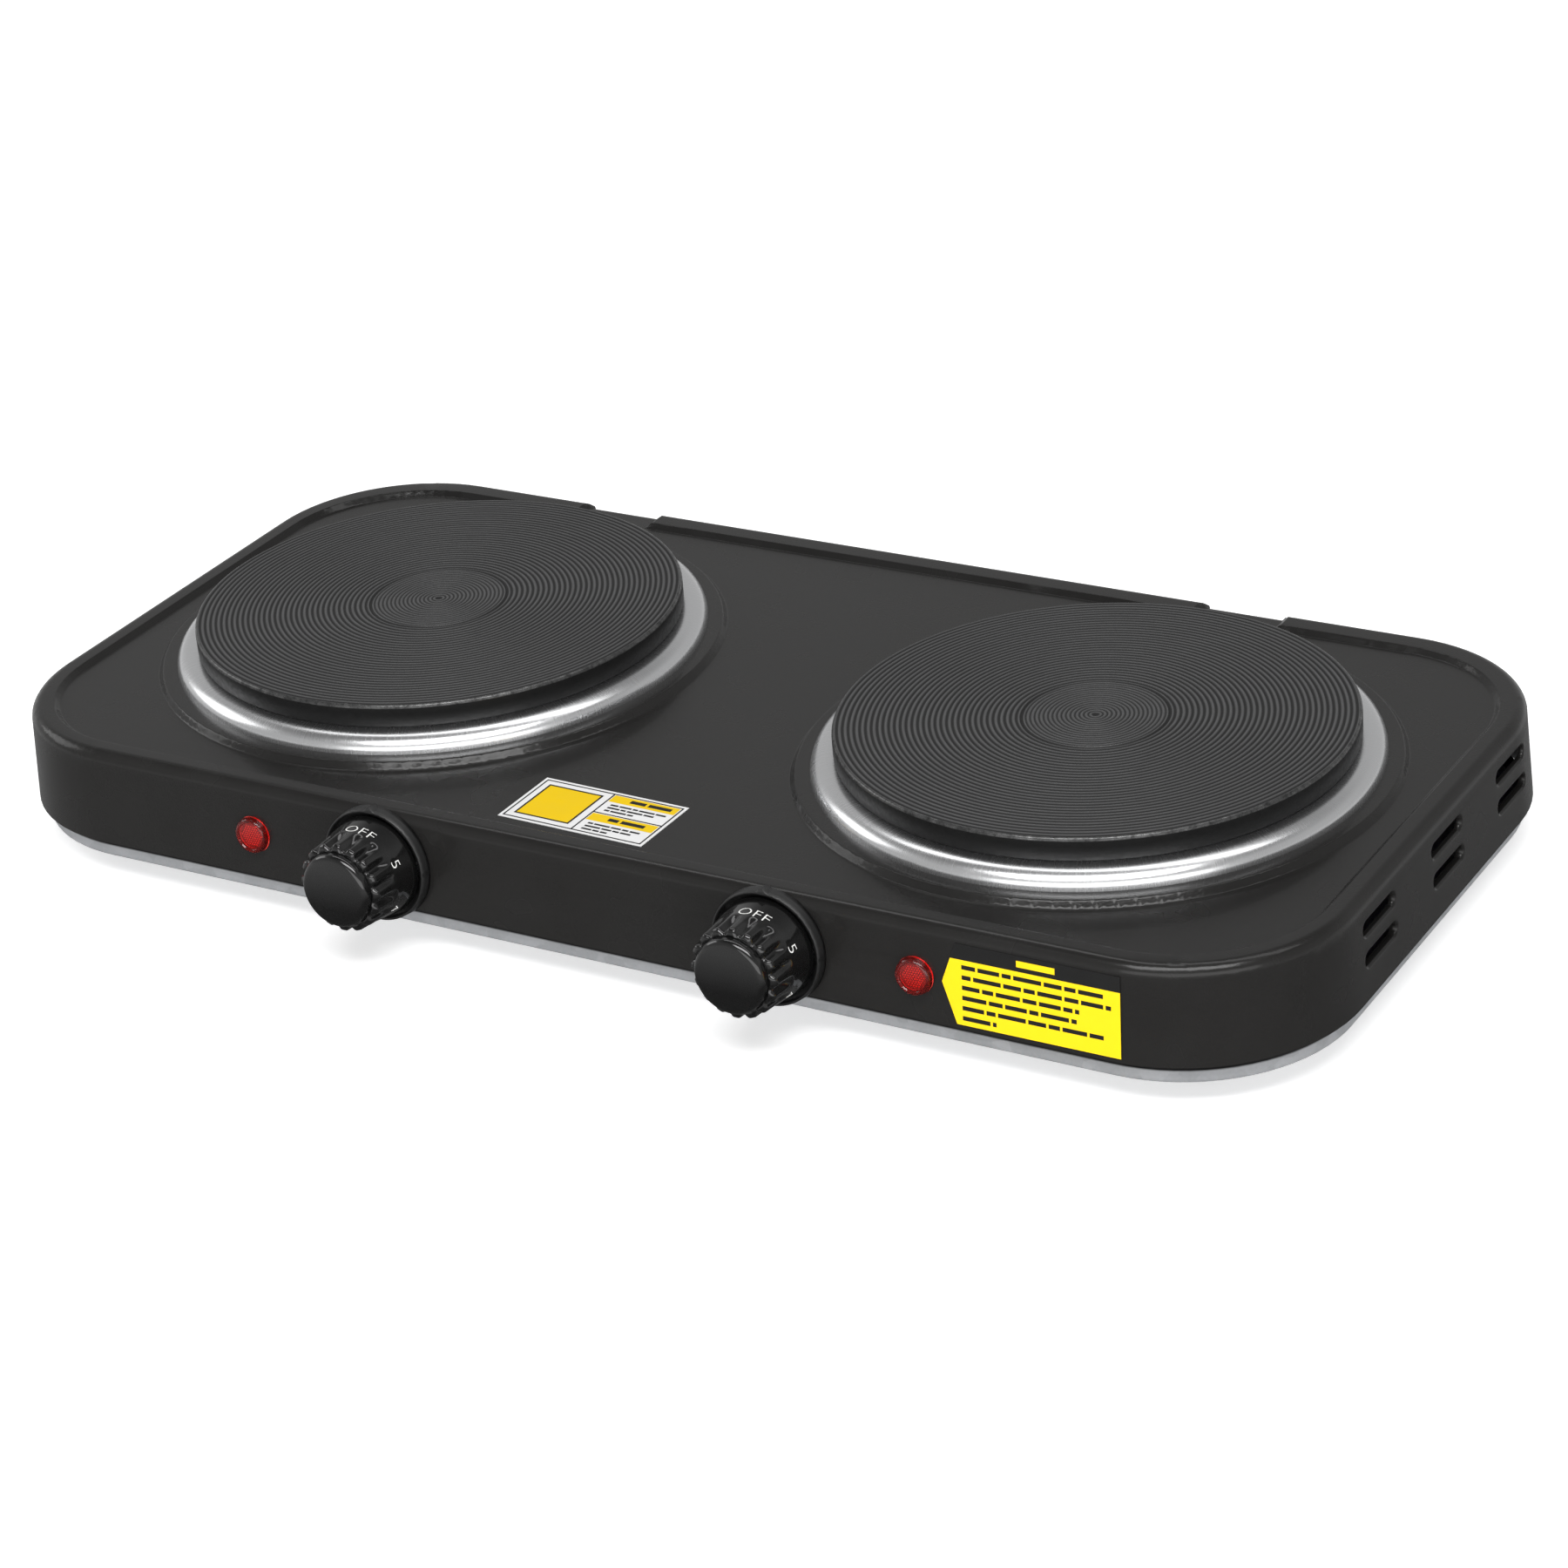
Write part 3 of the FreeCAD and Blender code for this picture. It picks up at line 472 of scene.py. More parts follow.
def turned_coordinates(tree, coordinates, around, outward):
    """Coordinates stretched round the piece's own axis: (angle x around, radius x outward, height)."""
    x, y, z = split_axes(tree, coordinates)
    angle = maths(tree, "ARCTAN2", y, x)
    squares = maths(tree, "ADD", maths(tree, "MULTIPLY", x, x), maths(tree, "MULTIPLY", y, y))
    radius = maths(tree, "SQRT", squares)
    join = tree.nodes.new("ShaderNodeCombineXYZ")
    link(tree, maths(tree, "MULTIPLY", angle, around), join.inputs["X"])
    link(tree, maths(tree, "MULTIPLY", radius, outward), join.inputs["Y"])
    link(tree, z, join.inputs["Z"])
    return join.outputs["Vector"]


# Materials

def powder_coat():
    """Black powder coat: a satin gloss over a fine grain."""
    made, tree, shader, coordinates = new_material("powder_coat", (0.012, 0.0115, 0.011), 0.26, specular=0.2)
    add_coat(shader, 0.22, 0.1)
    grain = noise(tree, coordinates, 1500, 2)
    patches = noise(tree, coordinates, 45, 2)
    vary_roughness(tree, shader, patches, 0.23, 0.29)
    vary_colour(tree, shader, patches, (0.011, 0.0105, 0.010), (0.014, 0.0135, 0.013))
    add_bump(tree, shader, [(grain, 50), (noise(tree, coordinates, 260, 1), 6)])
    return made


def galvanised(seam):
    """Zinc-coated sheet: dull metal with a faint spangle, and painted shade where it tucks under the body's
    edge.
    """
    made, tree, shader, coordinates = new_material("galvanised", (0.5, 0.51, 0.52), 0.42, metallic=0.5)
    spangle = tree.nodes.new("ShaderNodeTexVoronoi")
    spangle.inputs["Scale"].default_value = 160
    link(tree, coordinates, spangle.inputs["Vector"])
    tone = maths(tree, "ADD", maths(tree, "MULTIPLY", spangle.outputs["Color"], 0.5),
                 maths(tree, "MULTIPLY", noise(tree, coordinates, 900, 4), 0.5))
    height = split_axes(tree, coordinates)["Z"]
    # Painted shade: near black just under the body's edge, where its shadow falls, fading to zinc lower
    # down.
    shade = spread(tree, height, 1.0, 0.0, seam - SHADE_END * MM, seam - SHADE_START * MM)
    zinc = blend_colours(tree, tone, (0.36, 0.37, 0.385), (0.54, 0.55, 0.57))
    vary_colour(tree, shader, shade, (0.004, 0.004, 0.004), zinc)
    vary_roughness(tree, shader, tone, 0.36, 0.5)
    add_bump(tree, shader, [(noise(tree, coordinates, 1800, 3), 30)])
    return made


def stainless():
    """Spun and polished stainless steel, with hair-fine marks across the roll."""
    made, tree, shader, coordinates = new_material("stainless", (0.76, 0.765, 0.775), 0.25, metallic=1.0)
    hairs = noise(tree, turned_coordinates(tree, coordinates, 420, 25), 1.0, 3, 0.6)
    fine = noise(tree, turned_coordinates(tree, coordinates, 20, 3000), 1.0, 2)
    vary_roughness(tree, shader, hairs, 0.24, 0.28)
    vary_colour(tree, shader, hairs, (0.76, 0.765, 0.775), (0.80, 0.805, 0.815))
    add_bump(tree, shader, [(hairs, 1), (fine, 0.7)])
    return made


def cast_iron(top):
    """The turned top of a cast-iron plate: rubbed bright on its ridges by wear, with painted shade darkening
    its grooves.
    """
    made, tree, shader, coordinates = new_material("cast_iron", (0.05, 0.05, 0.05), 0.42, specular=0.4)
    grain = noise(tree, coordinates, 1300, 5, 0.7)
    arcs = noise(tree, turned_coordinates(tree, coordinates, 6, 1500), 1.0, 4, 0.7)
    height = split_axes(tree, coordinates)["Z"]
    # Wear and painted shade: the ridge tops are rubbed bright, and the grooves go near black as painted
    # shade.
    ridge = spread(tree, height, 0.0, 1.0, top - RUB_NONE_SHADE_FULL * MM, top - RUB_FULL_SHADE_NONE * MM)
    wear_and_shade = maths(tree, "MULTIPLY", ridge, spread(tree, arcs, 0.75, 1.1))
    vary_colour(tree, shader, wear_and_shade, (0.004, 0.004, 0.004), (0.062, 0.062, 0.063))
    polish = maths(tree, "ADD", wear_and_shade, maths(tree, "MULTIPLY", grain, 0.3))
    vary_roughness(tree, shader, polish, 0.62, 0.36, 0.1, 1.1)
    add_bump(tree, shader, [(grain, 30), (arcs, 10)])
    return made


def cast_side():
    """The plate's side: black, satin and a little rough from the mould."""
    made, tree, shader, coordinates = new_material("cast_side", (0.006, 0.006, 0.006), 0.4, specular=0.25)
    skin = noise(tree, coordinates, 700, 4, 0.6)
    vary_roughness(tree, shader, skin, 0.35, 0.5)
    add_bump(tree, shader, [(skin, 60)])
    return made


def worn_edge():
    """The plate's thin chamfer, where the iron shines through."""
    made, tree, shader, coordinates = new_material("worn_edge", (0.16, 0.16, 0.16), 0.3, metallic=0.7)
    wear = noise(tree, coordinates, 420, 4, 0.7)
    vary_colour(tree, shader, spread(tree, wear, 0, 1), (0.015, 0.015, 0.015), (0.12, 0.12, 0.12))
    vary_roughness(tree, shader, wear, 0.4, 0.22)
    add_bump(tree, shader, [(wear, 50)])
    return made


def moulded(name, tone, roughness, grain_scale, grain_depth, specular=0.5, coat=0.0):
    """Black moulded plastic with a grain, and with a polish if it has a coat."""
    made, tree, shader, coordinates = new_material(name, (tone, tone, tone), roughness, specular=specular)
    add_coat(shader, coat, 0.06)
    grain = noise(tree, coordinates, grain_scale, 2)
    haze = noise(tree, coordinates, 90, 2)
    vary_roughness(tree, shader, haze, roughness * 0.85, roughness * 1.15)
    vary_colour(tree, shader, haze, (tone * 0.9,) * 3, (tone * 1.15,) * 3)
    add_bump(tree, shader, [(grain, grain_depth)])
    return made


def red_lens():
    """Clear red moulded plastic."""
    made, tree, shader, coordinates = new_material("red_lens", (0.8, 0.05, 0.04), 0.02)
    shader.inputs["Transmission Weight"].default_value = 0.93
    shader.inputs["IOR"].default_value = 1.49
    cloud = noise(tree, coordinates, 300, 2)
    vary_colour(tree, shader, cloud, (0.76, 0.045, 0.035), (0.84, 0.06, 0.05))
    vary_roughness(tree, shader, cloud, 0.01, 0.03)
    return made


def lamp_red(name, dark, bright, painted_glow):
    """Red plastic behind the lens, with a glow of painted light that stands in for light coming in through
    the lens.
    """
    made, tree, shader, coordinates = new_material(name, bright, 0.25)
    cloud = noise(tree, coordinates, 500, 2)
    vary_colour(tree, shader, cloud, dark, bright)
    vary_roughness(tree, shader, cloud, 0.2, 0.35)
    # Painted light: the glow stands in for the light that comes in through the lens.
    shader.inputs["Emission Color"].default_value = (*bright, 1.0)
    shader.inputs["Emission Strength"].default_value = painted_glow
    return made


def film(name, colour, roughness=0.42):
    """Printed plastic film, very slightly uneven."""
    made, tree, shader, coordinates = new_material(name, colour, roughness, specular=0.2)
    flow = noise(tree, coordinates, 160, 2)
    darker = tuple(channel * 0.94 for channel in colour)
    vary_colour(tree, shader, flow, darker, colour)
    vary_roughness(tree, shader, flow, roughness * 0.85, roughness * 1.2)
    add_bump(tree, shader, [(flow, 10)])
    return made


def plain_metal(name, colour, roughness):
    """Small metal parts: plated steel, brass or heater wire."""
    made, tree, shader, coordinates = new_material(name, colour, roughness, metallic=1.0)
    marks = noise(tree, coordinates, 700, 4, 0.7)
    darker = tuple(channel * 0.8 for channel in colour)
    vary_colour(tree, shader, marks, darker, colour)
    vary_roughness(tree, shader, marks, roughness * 0.7, roughness * 1.4)
    add_bump(tree, shader, [(marks, 20)])
    return made


def plain_solid(name, colour, roughness, grain_scale=900, grain_depth=50):
    """Ceramic, rubber and sleeving: matt and grainy."""
    made, tree, shader, coordinates = new_material(name, colour, roughness)
    grain = noise(tree, coordinates, grain_scale, 4, 0.65)
    darker = tuple(channel * 0.82 for channel in colour)
    vary_colour(tree, shader, grain, darker, colour)
    vary_roughness(tree, shader, grain, roughness * 0.9, min(1.0, roughness * 1.15))
    add_bump(tree, shader, [(grain, grain_depth)])
    return made


def neon_glass():
    """The lamp's little glass envelope."""
    made, tree, shader, coordinates = new_material("neon_glass", (0.95, 0.85, 0.78), 0.05)
    shader.inputs["Transmission Weight"].default_value = 0.9
    vary_roughness(tree, shader, noise(tree, coordinates, 400, 2), 0.03, 0.08)
    return made


def make_materials():
    """Every material, by name."""
    return {
        "powder": powder_coat(),
        "galvanised": galvanised(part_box("body_shell")[0].z),
        "stainless": stainless(),
        "iron": cast_iron(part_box("left_hotplate")[1].z),
        "iron_side": cast_side(),
        "iron_edge": worn_edge(),
        "knob": moulded("knob_gloss", 0.004, 0.25, 220, 2, specular=0.15, coat=1.0),
        "collar": moulded("collar_matt", 0.012, 0.45, 1500, 40),
        "mark": film("mark_white", (0.78, 0.78, 0.76), 0.45),
        "lens": red_lens(),
        "lattice": lamp_red("lamp_lattice", (0.8, 0.2, 0.16), (0.95, 0.35, 0.3), 0.25),
        "backing": lamp_red("lamp_backing", (0.08, 0.002, 0.002), (0.14, 0.004, 0.003), 0.02),
        "white_film": film("film_white", (0.74, 0.74, 0.74)),
        "yellow_film": film("film_yellow", (0.78, 0.52, 0.0)),
        "bright_film": film("film_bright_yellow", (0.92, 0.62, 0.0)),
        "black_film": film("film_black", (0.012, 0.012, 0.012)),
        "zinc": plain_metal("zinc_plate", (0.68, 0.69, 0.71), 0.25),
        "brass": plain_metal("brass", (0.72, 0.53, 0.24), 0.28),
        "coil": plain_metal("heater_wire", (0.35, 0.31, 0.28), 0.45),
        "ceramic": plain_solid("ceramic", (0.78, 0.76, 0.70), 0.6),
        "refractory": plain_solid("refractory", (0.55, 0.52, 0.47), 0.9, 500, 200),
        "rubber": plain_solid("rubber", (0.018, 0.018, 0.018), 0.65),
        "sleeve": plain_solid("sleeve", (0.62, 0.61, 0.56), 0.8, 1800, 100),
        "earth": plain_solid("earth_sleeve", (0.20, 0.42, 0.05), 0.5),
        "neon": neon_glass(),
    }


# Hot plates and rings

def groove_floor(radius):
    """How far the plate's top lies under its highest level at a radius, in millimetres."""
    if radius < DIMPLE_RADIUS:
        return DIMPLE_DEPTH * math.cos(math.pi / 2 * radius / DIMPLE_RADIUS) + DIMPLE_RIM
    if radius < INNER_RADIUS:
        phase = (INNER_RADIUS - radius) / INNER_PITCH
        return INNER_DEPTH * (0.5 - 0.5 * math.cos(2 * math.pi * phase))
    if radius < INNER_RADIUS + INNER_STEP:
        phase = (radius - INNER_RADIUS) / INNER_STEP
        return STEP_DEPTH * math.sin(math.pi * phase)
    phase = (radius - INNER_RADIUS - INNER_STEP) / GROOVE_PITCH
    return GROOVE_DEPTH * (0.5 - 0.5 * math.cos(2 * math.pi * phase))


def plate_profile(top, seat, skirt):
    """The plate's closed outline, with its grooves, from the centre outward and back underneath."""
    points = [(0.0, top - groove_floor(0.0))]
    edge = PLATE_RADIUS - PLATE_CHAMFER
    radius = FIRST_SAMPLE
    while radius < edge - LAST_MARGIN:
        points.append((radius, top - groove_floor(radius)))
        radius += INNER_PITCH / INNER_SAMPLES if radius < INNER_RADIUS else GROOVE_PITCH / GROOVE_SAMPLES
    points += [(edge + outward, top - down) for outward, down in CHAMFER_START]
    points += [(PLATE_RADIUS + outward, top - down) for outward, down in CHAMFER_END]
    points += [(PLATE_RADIUS + outward, seat + up) for outward, up in SEAT_EDGE]
    points += [(SKIRT_OUTER, seat), (SKIRT_OUTER, skirt), (SKIRT_INNER, skirt), (SKIRT_INNER, seat + RECESS)]
    points += [(HUB_RADIUS, seat + RECESS), (HUB_RADIUS, skirt), (BORE_RADIUS, skirt)]
    points += [(BORE_RADIUS, skirt + BORE_DEPTH), (0.0, skirt + BORE_DEPTH)]
    return points


def make_plate(side, looks):
    """The turned cast-iron plate."""
    node = side + "_hotplate"
    centre = centre_of(node)
    low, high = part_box(node)
    top, skirt = high.z / MM, low.z / MM
    vertices, faces = lathe(plate_profile(top, skirt + SKIRT_HEIGHT, skirt), TURNS)
    materials = [looks["iron"], looks["iron_side"], looks["iron_edge"]]
    piece = new_piece(node + "_turned", vertices, faces, "housing", materials,
                      smooth_angle=50.0)
    for face in piece.data.polygons:
        reach = math.hypot(face.center.x, face.center.y) / MM
        drop = top - face.center.z / MM
        if drop > SIDE_DROP:
            face.material_index = 1
        elif reach > PLATE_RADIUS - PLATE_CHAMFER - EDGE_MARGIN:
            face.material_index = 2
    shift(piece, (centre.x, centre.y, 0.0))
    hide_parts(node)


def shift(piece, place):
    """Puts a piece, with its own origin, at a place in the row frame."""
    piece.matrix_world = Matrix.Translation(place)


def ring_profile(top, foot):
    """The trim ring's section: a flat lip, a rolled shoulder and a thin skirt."""
    outer = [(RING_INNER, top), (RING_LIP, top), (RING_SHOULDER, top)]
    under = []
    rise, run = top - foot, RING_OUTER - RING_SHOULDER
    start = RING_SHOULDER - RING_TUCK
    for step in range(1, RING_STEPS + 1):
        turn = math.pi / 2 * step / RING_STEPS
        across, down = math.sin(turn) ** RING_ACROSS, math.cos(turn) ** RING_DOWN
        outer.append((RING_SHOULDER + run * across, foot + rise * down))
        under.append((start + (run - RING_SHEET + RING_TUCK) * across, foot + (rise - RING_SHEET) * down))
    under = under[-2::-1]
    lip = [(start, top - RING_SHEET), (RING_INNER, top - RING_SHEET)]
    return outer + [(RING_OUTER - RING_SHEET, foot)] + under + lip


def make_ring(side, looks):
    """The stainless ring round a plate."""
    node = side + "_trim_ring"
    centre = centre_of(node)
    low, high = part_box(node)
    vertices, faces = lathe(ring_profile(high.z / MM, low.z / MM), TURNS)
    piece = new_piece(node + "_spun", vertices, faces, "housing",
                      [looks["stainless"]], smooth_angle=40.0)
    shift(piece, (centre.x, centre.y, 0.0))
    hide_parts(node)


# Knobs

def wall_frame(joint):
    """The matrix of a knob's axis: X right, Y up the wall, Z outward from it."""
    outward = -Vector(joint["axis"]).normalized()
    right = Vector((1, 0, 0))
    up = outward.cross(right)
    turn = Matrix((right, up, outward)).transposed().to_4x4()
    return Matrix.Translation(joint["pos_m"]) @ turn


def knob_radius(offset):
    """The knob's outer radius between its flutes, at a distance from the wall."""
    for (near, wide), (far, narrow) in zip(KNOB_WIDTHS, KNOB_WIDTHS[1:]):
        if offset <= far:
            share = (offset - near) / (far - near)
            return wide + (narrow - wide) * share
    return KNOB_WIDTHS[-1][1]


def flute_depth(offset):
    """How deep the flutes are at a distance from the wall."""
    share = min(1.0, max(0.0, (offset - FLUTE_START) / (FLUTE_END - FLUTE_START)))
    return FLUTE_DEPTH * (1 - (1 - share) ** FLUTE_RUN)


def flute_shape(angle):
    """0 on a lobe and 1 in the middle of a flute."""
    phase = (angle * FLUTES / (2 * math.pi)) % 1.0
    across = abs(phase - 0.5) / FLUTE_HALF
    return 0.0 if across >= 1 else (0.5 + 0.5 * math.cos(math.pi * across)) ** FLUTE_ROUND


def knob_rows():
    """The grip's outline as rows of (offset, inset from the outer radius, share of the flutes)."""
    rows = [(KNOB_BACK + offset, inset, 0.0) for offset, inset in SKIRT_EDGE]
    for step in range(1, GRIP_ROWS + 1):
        offset = KNOB_BACK + EDGE_BAND + (GRIP_END - KNOB_BACK - 2 * EDGE_BAND) * step / GRIP_ROWS
        rows.append((offset, 0.0, 1.0))
    rows += [(GRIP_END + offset, inset, 1.0) for offset, inset in GRIP_EDGE]
    return rows


def cap_profile():
    """The cap's outline from the grip inward: a short wall, a rounded edge and a shallow dome."""
    points = [(CAP_RADIUS + outward, GRIP_END + offset) for outward, offset in CAP_FOOT]
    lean = math.atan(2 * CAP_CROWN / CAP_FLAT)
    centre_r = CAP_FLAT - CAP_EDGE * math.sin(lean)
    centre_z = KNOB_LENGTH - CAP_CROWN - CAP_EDGE * math.cos(lean)
    for step in range(CAP_EDGE_STEPS + 1):
        turn = math.pi / 2 + (lean - math.pi / 2) * step / CAP_EDGE_STEPS
        points.append((centre_r + CAP_EDGE * math.sin(turn), centre_z + CAP_EDGE * math.cos(turn)))
    for step in range(1, CAP_DOME_STEPS):
        radius = CAP_FLAT * (1 - step / CAP_DOME_STEPS)
        points.append((radius, KNOB_LENGTH - CAP_CROWN * (radius / CAP_FLAT) ** 2))
    return points


def add_ring(vertices, radius_at, offset):
    """Adds a ring of vertices about Z and gives the first one's number."""
    start = len(vertices)
    for column in range(KNOB_COLUMNS):
        angle = 2 * math.pi * column / KNOB_COLUMNS
        radius = radius_at(angle)
        vertices.append((radius * MM * math.sin(angle), radius * MM * math.cos(angle), offset * MM))
    return start


def column_pairs(inward):
    """Every column and the next one, the other way round for a surface that faces inward."""
    for column in range(KNOB_COLUMNS):
        after = (column + 1) % KNOB_COLUMNS
        yield (after, column) if inward else (column, after)


def join_rings(faces, first, second, inward=False):
    """Adds the faces between two rings."""
    for near, far in column_pairs(inward):
        faces.append((first + near, first + far, second + far, second + near))


def close_ring(vertices, faces, ring, offset, inward=False):
    """Adds a point on the axis and the faces from a ring to it."""
    tip = len(vertices)
    vertices.append((0.0, 0.0, offset * MM))
    for near, far in column_pairs(inward):
        faces.append((ring + near, ring + far, tip))


def add_outside(vertices, faces):
    """Adds the knob's skirt, grip and cap, and gives the ring at its mouth."""
    rings = [add_ring(vertices, lambda angle: KNOB_MOUTH, KNOB_BACK)]
    for offset, inset, share in knob_rows():
        depth = flute_depth(offset) * share
        width = knob_radius(offset) - inset
        rings.append(add_ring(vertices, lambda angle: width - depth * flute_shape(angle), offset))
    for radius, offset in cap_profile():
        rings.append(add_ring(vertices, lambda angle: radius, offset))
    for first, second in zip(rings, rings[1:]):
        join_rings(faces, first, second)
    close_ring(vertices, faces, rings[-1], KNOB_LENGTH)
    return rings[0]


def make_knob(side, joint, looks):
    """The fluted knob with its domed cap, open behind."""
    vertices, faces = [], []
    ring = add_outside(vertices, faces)
    for radius, offset in KNOB_HOLLOW:
        following = add_ring(vertices, lambda angle: radius, offset)
        join_rings(faces, ring, following, inward=True)
        ring = following
    close_ring(vertices, faces, ring, HOLLOW_END, inward=True)
    node = side + "_knob"
    piece = new_piece(node + "_fluted", vertices, faces, side + "_control",
                      [looks["knob"]], smooth_angle=42.0, place=wall_frame(joint))
    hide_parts(node)


def mark_mesh(text):
    """A mark's flat letters, centred, one unit high, as (vertices, faces)."""
    letters = bpy.data.curves.new("mark_outline", "FONT")
    letters.body = text
    letters.align_x = "CENTER"
    letters.align_y = "CENTER"
    letters.size = 1.0
    letters.offset = LETTER_THINNING
    letters.space_character = LETTER_SPACING
    letters.resolution_u = LETTER_CURVES
    holder = bpy.data.objects.new("mark_outline", letters)
    bpy.context.scene.collection.objects.link(holder)
    bpy.context.view_layer.update()
    evaluated = holder.evaluated_get(bpy.context.evaluated_depsgraph_get())
    mesh = bpy.data.meshes.new_from_object(evaluated)
    vertices = [tuple(vertex.co) for vertex in mesh.vertices]
    faces = [tuple(face.vertices) for face in mesh.polygons]
    bpy.data.objects.remove(holder)
    bpy.data.meshes.remove(mesh)
    return vertices, faces


def make_marks(side, joint, looks):
    """The dial's marks, wrapped round the knob's skirt."""
    vertices, faces = [], []
    for index, text in enumerate(DIAL_MARKS):
        flat, corners = mark_mesh(text)
        middle = math.radians(index * DIAL_STEP + MARK_LEAD)
        size = MARK_HEIGHT / CAPITAL_HEIGHT
        start = len(vertices)
        for x, y, _ in flat:
            offset = MARK_OFFSET - y * size
            radius = knob_radius(offset) + MARK_LIFT
            angle = middle + x * size * MARK_STRETCH / radius
            vertices.append((radius * MM * math.sin(angle), radius * MM * math.cos(angle), offset * MM))
        faces += [tuple(start + corner for corner in face) for face in corners]
    new_piece(side + "_knob_marks", vertices, faces, side + "_control",
              [looks["mark"]], place=wall_frame(joint))


# Labels, plain blocks and rules without lettering

def ink(name, place, shapes, height, material):
    """Thin printed shapes on a label, each a list of (x, y) corners in millimetres."""
    vertices, faces = [], []
    for corners in shapes:
        faces.append(tuple(range(len(vertices), len(vertices) + len(corners))))
        vertices += [(x * MM, y * MM, height * MM) for x, y in corners]
    new_piece(name, vertices, faces, "housing", [material], place=place)


def block(x0, y0, x1, y1):
    """A rectangle's corners."""
    return [(x0, y0), (x1, y0), (x1, y1), (x0, y1)]


def border(x0, y0, x1, y1, width):
    """Four thin rectangles round an area."""
    return [block(x0, y0, x1, y0 + width), block(x0, y1 - width, x1, y1),
            block(x0, y0 + width, x0 + width, y1 - width), block(x1 - width, y0 + width, x1, y1 - width)]


def dashes(x, y, length, height, first=0):
    """A row of bars of uneven length, which stand for words without being any."""
    bars, index, end = [], first, x + length
    while x < end - LAST_DASH:
        wide = min(DASHES[index % len(DASHES)] * height, end - x)
        bars.append(block(x, y - height / 2, x + wide, y + height / 2))
        x += wide + DASH_GAP * height
        index += 1
    return bars


def top_label_text():
    """The bars of the top label's headings and text."""
    bars = []
    for x, y, length, first in TOP_HEADINGS:
        bars += dashes(x, y, length, TOP_HEADING_BARS, first)
    for row, length in enumerate(TOP_ROWS):
        for x, y, shorter, first in TOP_TEXTS:
            bars += dashes(x, y - TOP_ROW_PITCH * row, length - shorter, TOP_ROW_BARS, row + first)
    return bars


def make_top_label(looks):
    """The white label between the plates: a bordered sheet with two yellow bands and ruled text."""
    low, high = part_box("top_label")
    middle = (low + high) / 2
    turn = Matrix.Rotation(math.radians(TOP_TILT), 4, "Z")
    place = Matrix.Translation((middle.x, middle.y, high.z)) @ turn
    wide, tall = TOP_HALF
    rule = TOP_RULE
    black = border(-wide, -tall, wide, tall, rule)
    black += [block(-rule / 2, -tall, rule / 2, tall), block(0, -rule / 2, wide, rule / 2)]
    yellow = [block(*band) for band in TOP_BANDS]
    yellow.append(block(*TOP_PICTURE))
    text = top_label_text() + border(*TOP_PICTURE, TOP_PICTURE_RULE)
    ink("top_label_black", place, black, TOP_INK, looks["black_film"])
    ink("top_label_yellow", place, yellow, TOP_INK, looks["yellow_film"])
    ink("top_label_text", place, text, TOP_TEXT_INK, looks["black_film"])


def make_front_label(looks):
    """The pointed label beside the right lamp: a yellow sheet under a black heading, with ruled text."""
    joint = frame["joints"][0]
    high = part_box("front_label")[1]
    wall = Vector(joint["pos_m"])
    corner = Matrix.Translation((high.x - LABEL_WIDTH * MM, wall.y, wall.z))
    place = corner @ wall_frame(joint).to_3x3().to_4x4()
    half, foot = LABEL_HEIGHT / 2, HEADING_FOOT
    lean = LABEL_POINT / half
    sheet = [(-lean * (half - foot), foot), (-LABEL_POINT, 0), (0, -half)]
    sheet += [(LABEL_WIDTH, -half), (LABEL_WIDTH, foot)]
    text = []
    left, level = FRONT_ROW_START
    for row, length in enumerate(FRONT_ROWS):
        text += dashes(left, level - FRONT_ROW_PITCH * row, length, FRONT_ROW_BARS, 2 * row)
    ink("front_label_sheet", place, [sheet], FRONT_INK, looks["bright_film"])
    ink("front_label_title", place, dashes(*HEADING), FRONT_INK, looks["bright_film"])
    ink("front_label_text", place, text, FRONT_TEXT_INK, looks["black_film"])


# Lamps

def lens_profile():
    """The lens's closed outline: a shallow dome inside a rounded rim, a flange and the barrel."""
    points = []
    for step in range(LENS_STEPS + 1):
        rise = LENS_DOME * (1 - (step / LENS_STEPS) ** 2)
        points.append((LENS_DISH * step / LENS_STEPS, LENS_FACE + rise))
    for step in range(LENS_STEPS + 1):
        turn = math.pi / 2 * step / LENS_STEPS
        reach = LENS_DISH + RIM_FLAT + RIM_RADIUS * math.sin(turn)
        points.append((reach, RIM_FOOT + RIM_RADIUS * math.cos(turn)))
    points += LENS_BACK
    return points


def lattice_mesh():
    """Vertices and faces of the small six-sided studs behind the lens."""
    vertices, faces = [], []
    for row in range(-LATTICE_ROWS, LATTICE_ROWS + 1):
        for column in range(-LATTICE_ROWS, LATTICE_ROWS + 1):
            x = (column + 0.5 * (row % 2)) * LATTICE_PITCH
            y = row * LATTICE_PITCH * math.sqrt(3) / 2
            if math.hypot(x, y) > LATTICE_RADIUS:
                continue
            start = len(vertices)
            for turn in range(STUD_SIDES):
                angle = 2 * math.pi * turn / STUD_SIDES
                across, along = STUD_RADIUS * math.cos(angle), STUD_RADIUS * math.sin(angle)
                vertices.append(((x + across) * MM, (y + along) * MM, STUD_FOOT * MM))
            vertices.append((x * MM, y * MM, (STUD_FOOT + STUD_RADIUS) * MM))
            for turn in range(STUD_SIDES):
                faces.append((start + turn, start + (turn + 1) % STUD_SIDES, start + STUD_SIDES))
    return vertices, faces


